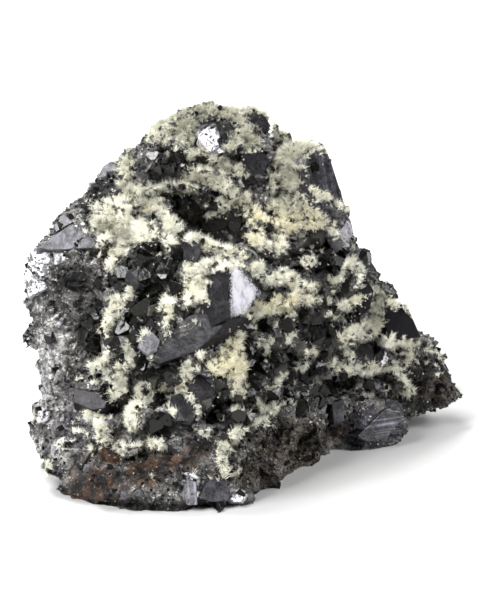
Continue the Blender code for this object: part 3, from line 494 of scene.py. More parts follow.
def druse_shares(points, normals):
    """How much druse grows on each point: bands on the front, patches elsewhere."""
    front = facing_front(normals)
    places = FRONT.places(points)
    wobble = [layered_noise(points, DRUSE_WOBBLE, seed) for seed in (1.0, 2.0)]
    gaps = layered_noise(points, DRUSE_GAPS, 3.0)
    gaps += DENSE_DRUSE * zone_shares(places, "dense druse")
    bands = band_shares(places + np.stack(wobble, axis=1)) * np.clip(1.05 + 2.0 * gaps, 0.0, 1.0)
    patch = layered_noise(points, DRUSE_PATCHES)
    patches = np.clip(2.5 * (patch + normals[:, 2] - 0.75), 0.0, 1.0)
    return front * bands + (1.0 - front) * patches


def inside(places, corners):
    """Whether each place lies within the outline through the corners."""
    odd = np.zeros(len(places), bool)
    for (x, y), (next_x, next_y) in zip(corners, corners[1:] + corners[:1]):
        if y != next_y:
            level = (places[:, 1] < y) != (places[:, 1] < next_y)
            odd ^= level & (places[:, 0] < x + (places[:, 1] - y) * (next_x - x) / (next_y - y))
    return odd


def clear_shares(places):
    """0 on the large flat faces of crystals, 1 on the rest."""
    faces = [corners for _, _, _, corners in FLAT_CRYSTALS]
    for name in ("middle_crystal", "right_crystal"):
        faces.append([corner[:2] for corner in LARGE_CRYSTALS[name][1]])
    return 1.0 - np.any([inside(places, corners) for corners in faces], axis=0)


# Mesh helpers


def new_object(name, data):
    """An object of this mesh, light or camera, in the scene."""
    obj = bpy.data.objects.new(name, data)
    bpy.context.scene.collection.objects.link(obj)
    return obj


def mesh_of(bm, name):
    """The mesh that the bmesh has become, which is then freed."""
    mesh = bpy.data.meshes.new(name)
    bm.to_mesh(mesh)
    bm.free()
    return mesh


def applied(obj, name):
    """A mesh of the object as its modifiers leave it; the object is removed."""
    graph = bpy.context.evaluated_depsgraph_get()
    mesh = bpy.data.meshes.new_from_object(obj.evaluated_get(graph))
    mesh.name = name
    bpy.data.objects.remove(obj, do_unlink=True)
    return mesh


def vectors(items, key):
    """The vectors called key of a mesh's vertices or faces, as rows of an array."""
    values = np.zeros(len(items) * 3)
    items.foreach_get(key, values)
    return values.reshape(-1, 3)


def set_shares(mesh, name, shares):
    """Stores one value for each point, for the material to read."""
    mesh.attributes.new(name, "FLOAT", "POINT").data.foreach_set("value", shares)


def tree_of(*meshes):
    """A tree of the faces of these meshes, for rays and nearest points."""
    points, faces = [], []
    for mesh in meshes:
        first = len(points)
        points += [v.co.copy() for v in mesh.vertices]
        faces += [[first + i for i in p.vertices] for p in mesh.polygons]
    return BVHTree.FromPolygons(points, faces)


def mesh_from(name, points, loops, sizes, values):
    """A flat-faced mesh from its points, the corners and sizes of its faces, and the values
    that its points carry."""
    mesh = bpy.data.meshes.new(name)
    mesh.vertices.add(len(points))
    mesh.vertices.foreach_set("co", np.ravel(points))
    mesh.loops.add(len(loops))
    mesh.loops.foreach_set("vertex_index", loops)
    mesh.polygons.add(len(sizes))
    mesh.polygons.foreach_set("loop_start", np.cumsum(sizes) - sizes)
    mesh.polygons.foreach_set("loop_total", sizes)
    mesh.update(calc_edges=True)
    mesh.shade_flat()
    for key, rows in values.items():
        set_shares(mesh, key, rows)
    return mesh


def arrays_of(mesh):
    """Points, face corners and face sizes of a mesh."""
    loops, sizes = np.zeros(len(mesh.loops), int), np.zeros(len(mesh.polygons), int)
    mesh.loops.foreach_get("vertex_index", loops)
    mesh.polygons.foreach_get("loop_total", sizes)
    return vectors(mesh.vertices, "co"), loops, sizes


def copies_joined(name, shape, placements, values):
    """One mesh with a copy of the shape for each placement (an array of 4 x 4 matrices).

    Each array in values, one row for each placement, is stored on the points of its copy.
    """
    corners, loops, sizes = arrays_of(shape)
    ones = np.hstack([corners, np.ones((len(corners), 1))])
    points = np.einsum("pij,vj->pvi", placements[:, :3, :], ones).reshape(-1, 3)
    loops = (loops + np.arange(len(placements))[:, None] * len(corners)).ravel()
    rows = {key: np.repeat(value, len(corners)) for key, value in values.items()}
    return mesh_from(name, points, loops, np.tile(sizes, len(placements)), rows)


def joined(name, meshes):
    """One mesh of them all; what only some of them carry is 0 on the others."""
    parts, first = [], 0
    carried = ("tone", "frost", "across")
    keys = {a.name for mesh in meshes for a in mesh.attributes if a.name in carried}
    values = {key: [] for key in keys}
    for mesh in meshes:
        points, loops, sizes = arrays_of(mesh)
        parts.append((points, loops + first, sizes))
        first += len(points)
        for key in keys:
            rows = np.zeros(len(points))
            if key in mesh.attributes:
                mesh.attributes[key].data.foreach_get("value", rows)
            values[key].append(rows)
    points, loops, sizes = map(np.concatenate, zip(*parts))
    return mesh_from(name, points, loops, sizes, {k: np.concatenate(v) for k, v in values.items()})


def finished(name, mesh, material, replaces=False):
    """Makes the mesh a piece of the specimen with this material."""
    mesh.materials.clear()
    mesh.materials.append(material)
    piece = new_object(name, mesh)
    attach(piece, "root")
    if replaces:
        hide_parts(CAD_NODE)
    made[name] = piece


def worn_edges(bm, width):
    """Takes the sharpness off every edge."""
    bmesh.ops.bevel(
        bm, geom=bm.edges[:], affect="EDGES", offset=width, segments=1, profile=0.5,
        material=-1, clamp_overlap=True,
    )


def block_of(corners, wear):
    """A convex block with these corners, its nearly level faces made one and its edges worn."""
    bm = bmesh.new()
    hull = bmesh.ops.convex_hull(bm, input=[bm.verts.new(corner) for corner in corners])
    within = [v for v in hull["geom_interior"] if isinstance(v, bmesh.types.BMVert)]
    bmesh.ops.delete(bm, geom=within, context="VERTS")
    bmesh.ops.dissolve_limit(bm, angle_limit=FLATTENED, verts=bm.verts[:], edges=bm.edges[:])
    worn_edges(bm, wear)
    return bm


def cut_cube(name, cuts, wear):
    """A cube from -1 to 1 with corners cut by the planes (normal, distance) and worn edges."""
    bm = bmesh.new()
    bmesh.ops.create_cube(bm, size=2.0)
    for normal, distance in cuts:
        along = Vector(normal).normalized()
        cut = bmesh.ops.bisect_plane(
            bm, geom=bm.verts[:] + bm.edges[:] + bm.faces[:], dist=1e-6,
            plane_co=along * distance, plane_no=along, clear_outer=True,
        )
        rim = [e for e in cut["geom_cut"] if isinstance(e, bmesh.types.BMEdge)]
        if rim:
            bmesh.ops.contextual_create(bm, geom=rim)
    if wear:
        worn_edges(bm, wear)
    bmesh.ops.recalc_face_normals(bm, faces=bm.faces)
    return mesh_of(bm, name)


CORNERS = [(x, y, z) for x in (-1, 1) for y in (-1, 1) for z in (-1, 1)]


def galena_shape():
    """A cube whose corners are cut by the faces of the octahedron."""
    reach = math.sqrt(3.0) * CUBE_CORNER_CUT
    return cut_cube("galena_shape", [(way, reach) for way in CORNERS], GALENA_WEAR)


def sphalerite_shape(wear):
    """A tetrahedron whose corners are cut by the faces of the opposite one."""
    cuts = []
    for way in CORNERS:
        cut = TETRAHEDRON_CUTS[0] if way[0] * way[1] * way[2] > 0 else TETRAHEDRON_CUTS[1]
        cuts.append((way, math.sqrt(3.0) * cut))
    return cut_cube("sphalerite_shape", cuts, wear)


def crystal_turn(number):
    """A crystal lies as it grew, in any direction: its turn follows from its number."""
    turn = random.Random(number)
    return Euler([turn.uniform(0.0, math.tau) for _ in range(3)])


def seated(solid, grid, column, row, radius, shape_tree, number):
    """Placement of a crystal whose own surface lies where the solid is seen at this place."""
    start = 4.0  # radii before its centre, which is well outside it
    ray = grid.ray(column, row)
    hit, _, _, _ = solid.ray_cast(grid.eye, ray)
    if hit is None:
        return None
    turn = crystal_turn(number)
    way = turn.to_matrix().inverted() @ ray
    _, _, _, reach = shape_tree.ray_cast(-start * way, way)
    size = Vector((radius, radius, radius))
    return Matrix.LocRotScale(hit + ray * radius * (start - reach), turn, size)


def scattered(meshes, weight, count, seed):
    """Points and normals spread over the faces of the meshes, thicker where the weight is high,
    with the generator that they were drawn from."""
    chance = np.random.default_rng(seed)
    corners, normals, odds = [], [], []
    for mesh in meshes:
        mesh.calc_loop_triangles()
        ids = np.zeros(len(mesh.loop_triangles) * 3, int)
        mesh.loop_triangles.foreach_get("vertices", ids)
        triangles = vectors(mesh.vertices, "co")[ids.reshape(-1, 3)]
        areas = np.zeros(len(triangles))
        mesh.loop_triangles.foreach_get("area", areas)
        corners.append(triangles)
        normals.append(vectors(mesh.loop_triangles, "normal"))
        odds.append(areas * weight(triangles.mean(axis=1), normals[-1]))
    corners, normals, odds = map(np.concatenate, (corners, normals, odds))
    picks = chance.choice(len(odds), count, p=odds / odds.sum())
    u, v = chance.random((2, count))
    over = u + v > 1.0
    u[over], v[over] = 1.0 - u[over], 1.0 - v[over]
    a, b, c = (corners[picks, i] for i in range(3))
    points = a + (b - a) * u[:, None] + (c - a) * v[:, None]
    return points, normals[picks], chance


def turned_to(ways, spins):
    """Rotation matrices whose Z axes point along ways, spun about them by the angles."""
    z = ways / np.linalg.norm(ways, axis=1)[:, None]
    helper = np.where(np.abs(z[:, 2:3]) < 0.9, (0.0, 0.0, 1.0), (1.0, 0.0, 0.0))
    x = np.cross(helper, z)
    x /= np.linalg.norm(x, axis=1)[:, None]
    y = np.cross(z, x)
    c, s = np.cos(spins)[:, None], np.sin(spins)[:, None]
    return np.stack([x * c + y * s, y * c - x * s, z], axis=2)


def placed(centres, turns, sizes):
    """4 x 4 placements from centres, rotation matrices and sizes (one number or three each)."""
    placements = np.zeros((len(centres), 4, 4))
    placements[:, :3, :3] = turns * np.broadcast_to(sizes, (len(centres), 3))[:, None, :]
    placements[:, :3, 3] = centres
    placements[:, 3, 3] = 1.0
    return placements


# Materials


def linear(code):
    """Linear red, green and blue from an sRGB hex value."""
    channels = [int(code[i : i + 2], 16) / 255.0 for i in (1, 3, 5)]
    return [c / 12.92 if c <= 0.04045 else ((c + 0.055) / 1.055) ** 2.4 for c in channels]


def rgba(colour):
    """A node's colour, from an sRGB hex value or from linear red, green and blue."""
    return (*(linear(colour) if isinstance(colour, str) else colour), 1.0)


def fill(node, inputs):
    """Gives each input of the node its value, turning hex colours to linear, or its link."""
    for key, value in inputs.items():
        if isinstance(value, bpy.types.NodeSocket):
            node.id_data.links.new(value, node.inputs[key])
        else:
            node.inputs[key].default_value = rgba(value) if isinstance(value, str) else value


def add(nodes, kind, inputs, output=0, **settings):
    """Adds a node with these settings and inputs, and returns one of its outputs.

    The inputs are a dictionary, or a list of the first ones in their order.
    """
    node = nodes.new("ShaderNode" + kind)
    for key, value in settings.items():
        setattr(node, key, value)
    fill(node, inputs if isinstance(inputs, dict) else dict(enumerate(inputs)))
    return node.outputs[output]


def coated(nodes, colour, *coats):
    """The colour under its coats, each (share, low, high, most, colour): a coat covers nothing
    where its share is low, and most (0 to 1) of what lies under it where its share is high."""
    for share, low, high, most, coat in coats:
        cover = add(nodes, "MapRange", [share, low, high, 0.0, most])
        colour = add(nodes, "Mix", {0: cover, 6: colour, 7: coat}, 2, data_type="RGBA")
    return colour


def new_material(name, *carried):
    """A material, its nodes, its Principled shader, the object's own coordinates, and the
    shares of these names that the points carry."""
    material = bpy.data.materials.new(name)
    material.use_nodes = True
    nodes = material.node_tree.nodes
    place = add(nodes, "TexCoord", [], "Object")
    shares = [add(nodes, "Attribute", [], "Fac", attribute_name=key) for key in carried]
    return material, nodes, nodes["Principled BSDF"], place, *shares


def glinting(nodes, place, grain, tilt):
    """Normals that lean another way on each grain, so that each grain glints by itself."""
    cells = add(nodes, "TexVoronoi", {"Vector": place, "Scale": 1.0 / grain}, "Color")
    lean = add(nodes, "VectorMath", [cells, (0.5, 0.5, 0.5)], operation="SUBTRACT")
    normal = add(nodes, "NewGeometry", [], "Normal")
    lean = add(nodes, "VectorMath", [lean, (tilt,) * 3, normal], operation="MULTIPLY_ADD")
    return add(nodes, "VectorMath", [lean], operation="NORMALIZE")


def ore_material(ore):
    """Galena ore as it breaks: lead-grey metal in grains that each glint their own way, dull
    where it is fine, with rust, brown carbonate and the pale footing of the druse. It is near
    black in the dark zones and at the thin edges of the druse as painted shade, specked with
    painted glints, and partly white in the silver zones as painted highlight."""
    material, nodes, shader, place, druse, dark, violet, silver, pale, brown, rust = new_material(
        "galena, broken ore", "druse", "dark", "violet", "silver", "pale", "brown", "rust"
    )
    # Specks are 0.5 mm across, clouds of tarnish 5 mm, and clusters of painted glints 2 mm
    cells = add(nodes, "TexVoronoi", {"Vector": place, "Scale": 1.0 / 0.0005}, "Color")
    speck = add(nodes, "SeparateColor", [cells])
    blotch, patch = (
        add(nodes, "TexNoise", {"Vector": place, "Scale": 1.0 / size, "Detail": detail}, "Fac")
        for size, detail in ((0.005, 6.0), (0.0022, 3.0))
    )
    # Where the 2 mm clusters rise, sparse near-white specks are painted glints: light that the
    # grains would reflect, painted into their colour
    painted_glints = add(nodes, "MapRange", [patch, 0.5, 0.6, 0.0, 0.7])
    silver_sheen_share = add(nodes, "MapRange", [silver, 0.2, 0.6])
    # Ore in the dark zones, and at the thin edges of the druse, is coated near black: painted shade
    # of the recesses between crystals and under the ledges of druse
    unlit = add(nodes, "MapRange", [druse, 0.0, 0.1, 0.0, 0.8])
    shaded = add(nodes, "Math", [dark, unlit], operation="MAXIMUM")
    # In the silver zones: grey metal with near-white patches, partly its silvery colour and partly
    # painted highlight of the lights that its faces would mirror
    metal = coated(nodes, "#6f6e72", (patch, 0.47, 0.52, 1.0, "#f6f6f8"))
    sugar = coated(
        nodes, "#d6d5d2", (patch, 0.4, 0.6, 1.0, "#6a6968"), (speck, 0.6, 0.8, 0.6, "#2d2c2c")
    )
    # Near black with faint specks: the colour of the painted shade
    darkening = coated(nodes, "#040404", (speck, 0.2, 0.1, 1.0, "#1f1e1d"))
    carbonate = coated(nodes, "#746a5f", (speck, 0.2, 0.8, 1.0, "#2b2723"))
    # Rust, mottled dark to reddish brown, with a few near-white specks of painted glints in the
    # clusters
    iron = coated(
        nodes, "#15110e",
        (blotch, 0.44, 0.6, 1.0, "#50341f"), (speck, 0.94, 0.96, painted_glints, "#c4bcb2"),
    )
    # The footing of the druse, pale with dark specks; it is darkened so that the gaps between the
    # tufts show dark, partly its own colour and partly painted shade
    footing = coated(nodes, "#8f8c74", (speck, 0.2, 0.8, 1.0, "#33322a"))
    colour = coated(
        nodes, "#393837",
        (blotch, 0.35, 0.65, 1.0, rgba(ore.colour)), (violet, 0.0, 1.0, 1.0, "#5b5961"),
        (speck, 0.62, 0.7, 0.5, "#141413"), (speck, 0.11, 0.06, 0.5, "#dad9d6"),
        (silver_sheen_share, 0.0, 1.0, 1.0, metal), (pale, 0.1, 0.8, 0.9, sugar),
        (shaded, 0.0, 1.0, 1.0, darkening), (speck, 0.03, 0.02, painted_glints, "#eeedea"),
        (brown, 0.0, 1.0, 0.8, carbonate), (rust, 0.0, 1.0, 0.9, iron),
        (druse, 0.3, 0.7, 1.0, footing),
    )
    dull = add(nodes, "MapRange", [druse, 0.0, 0.3])
    dull = matt = add(nodes, "Math", [dull, rust], operation="MAXIMUM")
    for share in (shaded, silver_sheen_share, pale):
        matt = add(nodes, "Math", [matt, share], operation="MAXIMUM")
    rough = add(nodes, "Math", [dull, speck], operation="MAXIMUM")
    # Relief too fine for the mesh, pits and ridges about 0.8 mm across, on grains of 1.1 mm
    relief = add(
        nodes, "TexNoise",
        {"Vector": place, "Scale": 1.0 / 0.0016, "Detail": 6.0, "Roughness": 0.7}, "Fac",
    )
    bump = add(nodes, "Bump", {
        "Height": relief, "Strength": 0.8, "Distance": 0.0012,
        "Normal": glinting(nodes, place, 0.0011, 0.6),
    })
    fill(shader, {
        "Base Color": colour, "Normal": bump, "IOR": 1.35,
        "Metallic": add(nodes, "MapRange", [matt, 0.0, 1.0, 0.6, 0.0]),
        "Roughness": add(nodes, "MapRange", [rough, 0.0, 1.0, 0.3, 0.7]),
    })
    return material


def galena_material(crystal):
    """Galena crystal faces: smooth lead-grey metal, darker or paler by its tone, with growth
    lines on some of them, and a frosted bloom where a face has etched. The palest tones give
    near-white matt faces, painted glints that stand for light reflected off the faces."""
    material, nodes, shader, place, tone, across, frost = new_material(
        "galena, crystal face", "tone", "across", "frost"
    )
    # Tarnish clouds are 3 mm across and etched flecks 0.6 mm; growth lines are 1.5 mm apart
    cloud, fleck = (
        add(nodes, "TexNoise", {"Vector": place, "Scale": 1.0 / size, "Detail": detail}, "Fac")
        for size, detail in ((0.003, 6.0), (0.0006, 3.0))
    )
    lines = add(
        nodes, "TexNoise", {"W": across, "Scale": 1.0 / 0.0015, "Detail": 5.0}, "Fac",
        noise_dimensions="1D",
    )
    share = add(nodes, "Math", [tone, 2.0], operation="POWER")
    hazy = add(nodes, "MapRange", [cloud, 0.48, 0.68, 0.0, 0.6])
    hazy = add(nodes, "Math", [hazy, tone], operation="MULTIPLY")
    flecked = add(nodes, "MapRange", [share, 0.4, 0.9, 0.6, 0.97])
    drawn = add(nodes, "MapRange", [tone, 0.14, 0.3, 0.0, 0.8])
    for part in ((lines, 0.48, 0.66), (cloud, 0.4, 0.6, 0.1, 1.0)):
        drawn = add(nodes, "Math", [drawn, add(nodes, "MapRange", part)], operation="MULTIPLY")
    frosted = add(nodes, "Math", [frost, fleck], operation="SUBTRACT")
    frosted = add(nodes, "MapRange", [frosted, -0.1, 0.15])
    bloom = coated(nodes, "#a19fa9", (cloud, 0.35, 0.55, 1.0, "#cdccd3"))
    colour = coated(
        nodes, rgba(crystal.galena),
        (share, 0.0, 1.0, 1.0, "#f0eff3"), (cloud, 0.65, 0.35, 0.45, "#1b1a1d"),
        (hazy, 0.0, 1.0, 1.0, "#777677"), (fleck, 0.5, 0.6, flecked, "#0e0d0e"),
        (drawn, 0.0, 1.0, 1.0, "#a9a5bb"), (frosted, 0.0, 1.0, 1.0, bloom),
    )
    matt = add(nodes, "Math", [frosted, share], operation="MAXIMUM")
    fill(shader, {
        "Base Color": colour,
        "Metallic": add(nodes, "MapRange", [matt, 0.4, 0.8, 0.15, 0.0]),
        "Roughness": add(nodes, "MapRange", [cloud, 0.3, 0.7, 0.15, 0.3]),
        "IOR": add(nodes, "MapRange", [tone, 0.1, 0.4, 1.12, 1.28]),
        "Normal": add(nodes, "Bump", {"Height": cloud, "Strength": 0.35, "Distance": 0.0005}),
    })
    return material


def sphalerite_material(crystal):
    """Sphalerite crystals: near-black, with dull to resinous facets whose grey changes from
    crystal to crystal, a little olive."""
    material, nodes, shader, place, tone = new_material("sphalerite, black crystal", "tone")
    share = add(nodes, "Math", [tone, 2.0], operation="POWER")
    # Growth ripples on the facets are about 1 mm apart
    ripple = add(
        nodes, "TexNoise", {"Vector": place, "Scale": 1.0 / 0.0012, "Detail": 4.0}, "Fac"
    )
    fill(shader, {
        "Base Color": coated(nodes, rgba(crystal.sphalerite), (share, 0.0, 1.0, 1.0, "#5e5d57")),
        "IOR": 1.38,
        "Roughness": add(nodes, "MapRange", [ripple, 0.3, 0.7, 0.12, 0.3]),
        "Normal": add(nodes, "Bump", {"Height": ripple, "Strength": 0.4, "Distance": 0.0004}),
    })
    return material


def druse_material(druse):
    """Druse: tufts of fine pale needles, cream at their tips and greyer at their roots, where the
    grey is painted shade among the needles, yellow or olive in places, and darkened needle by
    needle as painted shade between its grains. They are matt, and too fine to have any grain of
    their own."""
    material, nodes, shader, _, yellow, olive, height, shade = new_material(
        "druse, pale needles", "yellow", "olive", "height", "shade"
    )
    tip = coated(
        nodes, rgba(druse.cream),
        (yellow, 0.0, 1.0, 1.0, rgba(druse.yellow)), (olive, 0.0, 1.0, 1.0, rgba(druse.olive)),
    )
    # The greyer roots are painted shade, where the needles shade one another near the surface
    root = add(nodes, "Mix", {0: 0.4, 6: tip, 7: "#807e6c"}, 2, data_type="RGBA")
    colour = coated(nodes, root, (height, 0.0, 0.6, 1.0, tip))
    colour = coated(nodes, "#000000", (shade, 0.0, 1.0, 1.0, colour))
    fill(shader, {"Base Color": colour, "Roughness": 0.6})
    return material


def floor_material(stage):
    """Seamless pale paper: matt, with no grain at this scale, and glowing more the further behind
    the specimen it lies: painted light, an emission that stands for light coming through the paper
    from behind.
    """
    material, nodes, shader, place = new_material("stage, white paper")
    cloud = add(nodes, "TexNoise", {"Vector": place, "Scale": 3.0}, "Fac")
    # The painted glow starts 0.1 m behind the specimen and is full at 0.6 m
    depth = add(nodes, "SeparateXYZ", [place], "Y")
    fill(shader, {
        "Base Color": coated(nodes, "#aeaeae", (cloud, 0.0, 1.0, 1.0, "#b2b2b2")),
        "Roughness": 0.9, "Emission Color": "#ffffff",
        "Emission Strength": add(nodes, "MapRange", [depth, 0.1, 0.6, 0.0, stage.glow]),
    })
    return material


# The pieces

CRYSTALS = ("large_crystals", "galena_crystals", "sphalerite_crystals")


def large_crystals():
    """The largest galena crystals, blocks with worn edges; the middle one is frosted in part."""
    blocks = []
    for tone, front, hidden in LARGE_CRYSTALS.values():
        corners = [FRONT.seen(*corner) for corner in front]
        block = block_of(corners + [Vector(corner) for corner in hidden], LARGE_WEAR)
        bmesh.ops.triangulate(block, faces=block.faces[:])
        bmesh.ops.subdivide_edges(block, edges=block.edges[:], cuts=FACE_CUTS, use_grid_fill=True)
        bmesh.ops.recalc_face_normals(block, faces=block.faces)
        mesh = mesh_of(block, "block")
        set_shares(mesh, "tone", np.full(len(mesh.vertices), tone))
        set_shares(mesh, "frost", frost_shares(mesh))
        set_shares(mesh, "across", vectors(mesh.vertices, "co") @ LINES_ACROSS)
        blocks.append(mesh)
    return joined("large_crystals", blocks)


def frost_shares(mesh):
    """1 in the middle of the middle crystal's etched face, less at its edges, 0 beyond them."""
    points, normals = vectors(mesh.vertices, "co"), vectors(mesh.vertices, "normal")
    places = FRONT.places(points)
    pairs = zip(ETCHED_FACE, ETCHED_FACE[1:] + ETCHED_FACE[:1])
    edge = np.min([line_distances(places, start, end)[0] for start, end in pairs], axis=0)
    shown = inside(places, ETCHED_FACE) & (normals @ np.array(FRONT.right) > 0.05)
    return shown * np.clip(edge / ETCHED_FADE + ETCHED_LEAST, 0.0, 1.0)


def flat_crystal(lined, tone, lean, corners):
    """A crystal that shows this face to the front, a little in front of most of the solid; its
    sides widen towards its back, which lies inside the ore."""
    normal = FRONT.to_eye + FRONT.right * math.tan(math.radians(lean[0]))
    normal = (normal + FRONT.up * math.tan(math.radians(lean[1]))).normalized()
    middle = np.mean(corners, axis=0)
    spots = (1.0 - FLAT_MEASURED) * np.array(corners) + FLAT_MEASURED * middle
    rays = [FRONT.ray(*spot) for spot in spots]
    reaches = [made["solid"].ray_cast(FRONT.eye, ray)[3] for ray in rays]
    levels = [ray.dot(normal) * reach for ray, reach in zip(rays, reaches) if reach is not None]
    level = float(np.quantile(levels, FLAT_SHARE)) + FLAT_PROUD
    rays = [FRONT.ray(*corner) for corner in corners]
    face = [FRONT.eye + ray * (level / ray.dot(normal)) for ray in rays]
    centre = sum(face, Vector()) / len(face)
    reach = sum((point - centre).length for point in face) / len(face)
    inwards = normal * (reach + FLAT_DEPTH)
    back = [point + (point - centre) * FLAT_FLARE - inwards for point in face]
    for point in face + back:
        point.z = max(point.z, LOWEST_FACE)
    bm = block_of(face + back, FLAT_WEAR)
    bmesh.ops.recalc_face_normals(bm, faces=bm.faces)
    mesh = mesh_of(bm, "flat_crystal")
    set_shares(mesh, "tone", np.full(len(mesh.vertices), tone))
    # Growth lines run along the longest edge
    edges = [end - start for start, end in zip(face, face[1:] + face[:1])]
    across = normal.cross(max(edges, key=lambda edge: edge.length)).normalized()
    set_shares(mesh, "across", lined * vectors(mesh.vertices, "co") @ np.array(across))
    return mesh


def flat_crystals(mineral):
    """The flat-faced crystals of this mineral."""
    return [
        flat_crystal(kind.startswith("lined"), *rest) for kind, *rest in FLAT_CRYSTALS
        if kind.endswith(mineral)
    ]


def front_placements(places, size, shape, first_number):
    """Placements of the crystals at these places of the front."""
    tree, solid = tree_of(shape), made["solid"]
    found = []
    for number, (column, row, steps) in enumerate(places, first_number):
        radius = steps * GRID_STEP * size
        placement = seated(solid, FRONT, column, row, radius, tree, number)
        if placement is not None:
            found.append(placement)
    return np.array(found)


def side_placements(shape):
    """Placements of the cleaved cubes on the sides and the back."""
    tree, found = tree_of(shape), []
    for azimuth in SIDE_AZIMUTHS:
        grid = Grid(azimuth)
        for number in range(azimuth * 100, azimuth * 100 + SIDE_CRYSTALS):
            spot = random.Random(number)
            column, row = spot.uniform(*SIDE_COLUMNS), spot.uniform(*SIDE_ROWS)
            radius = spot.uniform(*SIDE_CRYSTAL_RADIUS)
            placement = seated(made["solid"], grid, column, row, radius, tree, number)
            if placement is None or placement.translation.z < 2.0 * radius:
                continue
            if behind_front(placement.translation, radius):
                found.append(placement)
    return np.array(found)


def behind_front(centre, radius):
    """Whether the front shows nothing of a crystal here, neither on it nor past its outline."""
    for across, up in ((0, 0), (1, 0), (-1, 0), (0, 1), (0, -1)):
        edge = centre + (FRONT.right * across + FRONT.up * up) * radius * CUBE_REACH
        way = edge - FRONT.eye
        reach = made["solid"].ray_cast(FRONT.eye, way.normalized())[3]
        if reach is None or reach > way.length - HIDDEN_DEPTH * radius:
            return False
    return True


def grain_turns(points, size):
    """For each point, the turn of the grain of ore that it is in, and the grain's number."""
    low, high = np.array(CAD_BOX[0]), np.array(CAD_BOX[1])
    chance = np.random.default_rng(GRAIN_SEED)
    count = int(np.prod(high - low) / size**3)
    seeds = low + chance.random((count, 3)) * (high - low)
    tree = KDTree(count)
    for number, spot in enumerate(seeds):
        tree.insert(spot, number)
    tree.balance()
    grains = np.array([tree.find(p)[1] for p in points])
    turns = np.array([crystal_turn(FIRST_GRAIN + n).to_matrix() for n in range(count)])
    return turns[grains], grains


def stepped(points, normals, strength, ore):
    """How far each point moves to lie on the flat terraces of its grain's cubic cleavage."""
    turns, grains = grain_turns(points, ore.grain_size)
    local = np.einsum("nji,nj->ni", turns, points)
    facing = np.einsum("nji,nj->ni", turns, normals)
    axis = np.argmax(np.abs(facing), axis=1)
    rows = np.arange(len(points))
    heights = ore.low_step + (ore.high_step - ore.low_step) * hashed(
        np.stack([grains, axis, axis], axis=1), 3.0
    )
    level = local[rows, axis]
    move = (np.floor(level / heights) + 0.5) * heights - level
    return turns[rows, :, axis] * (move * strength)[:, None]


def remeshed(ore):
    """The solid's own shape as one fine, even skin."""
    bm = bmesh.new()
    bm.from_mesh(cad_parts[CAD_NODE].data)
    bmesh.ops.remove_doubles(bm, verts=bm.verts, dist=MERGE_DISTANCE)
    obj = new_object("ore", mesh_of(bm, "ore"))
    skin = obj.modifiers.new("skin", "REMESH")
    skin.mode = "VOXEL"
    skin.voxel_size = ore.voxel
    return applied(obj, "ore")


def terrace(mesh, ore):
    """Moves the skin's points onto cleavage terraces where it is bare ore, and a little inwards
    where druse grows on it or a crystal meets it."""
    points, normals = vectors(mesh.vertices, "co"), vectors(mesh.vertices, "normal")
    druse = druse_shares(points, normals)
    crystals = tree_of(*(made[name].data for name in CRYSTALS))
    nearest = [crystals.find_nearest(Vector(p), CRYSTAL_MARGIN)[3] for p in points]
    covered = np.array([0.0 if away is None else 1.0 - away / CRYSTAL_MARGIN for away in nearest])
    on_base = (points[:, 2] < BASE_MARGIN) & (normals[:, 2] < -0.5)
    bare = (1.0 - np.clip(druse * 2.0, 0.0, 1.0)) * (1.0 - covered) * ~on_base
    points += stepped(points, normals, bare, ore)
    sunk = ore.inset + ore.druse_bed * np.clip(druse * 1.5, 0.0, 1.0) + CRYSTAL_BED * covered
    points -= normals * (sunk * ~on_base)[:, None]
    points[:, 2] = np.where(on_base, 0.0, np.maximum(points[:, 2], 0.0))
    mesh.vertices.foreach_set("co", points.ravel())
    mesh.update()


def set_ore_shares(mesh):
    """Stores the druse and the coloured zones on the points of the ore."""
    points, normals = vectors(mesh.vertices, "co"), vectors(mesh.vertices, "normal")
    front, places = facing_front(normals), FRONT.places(points)
    set_shares(mesh, "druse", druse_shares(points, normals))
    for seed, (name, low) in enumerate(ORE_ZONES.items(), 5):
        edge = 0.5 * noise_values(points, ZONE_EDGE, seed)
        shown = np.clip(zone_shares(places, name) * 1.3 + edge - 0.15, 0.0, 1.0)
        hidden = np.clip((noise_values(points, ZONE_PATCH, seed) - low) * 6.0, 0.0, 1.0)
        set_shares(mesh, name, front * shown + (1.0 - front) * hidden)


def ore_mesh(ore):
    """The solid's own shape, cut finely into cleavage terraces where it is bare ore."""
    mesh = remeshed(ore)
    terrace(mesh, ore)
    obj = new_object("ore", mesh)
    thin = obj.modifiers.new("fewer faces", "DECIMATE")
    thin.ratio = min(1.0, ore.triangles / (2.0 * len(mesh.polygons)))
    mesh = applied(obj, "ore_mass")
    set_ore_shares(mesh)
    return mesh


def fill_crystals(crystal):
    """Small sphalerite crystals, crowded between the large ones and strewn on the other sides."""

    def weight(centres, normals):
        places = FRONT.places(centres)
        field = zone_shares(places, "sphalerite") * clear_shares(places)
        patch = np.clip(noise_values(centres, FILL_PATCH, 9.0) * 3.0 - 0.6, 0.0, 1.0)
        front = facing_front(normals)
        bare = (1.0 - druse_shares(centres, normals)) ** 2
        bare *= centres[:, 2] > LOWEST_FILL
        return (front * field + (1.0 - front) * 0.4 * patch) * bare

    ore = [made["ore_mass"].data]
    points, normals, chance = scattered(ore, weight, crystal.fill_count, FILL_SEED)
    sizes = chance.random(len(points)) ** 2
    sizes = crystal.fill_low + (crystal.fill_high - crystal.fill_low) * sizes
    turns = turned_to(chance.normal(size=points.shape), chance.random(len(points)) * math.tau)
    placements = placed(points - normals * (sizes * FILL_DEPTH)[:, None], turns, sizes[:, None])
    tones = 0.4 * chance.random(len(points)) ** 2
    return copies_joined("small_sphalerite", sphalerite_shape(0.0), placements, {"tone": tones})


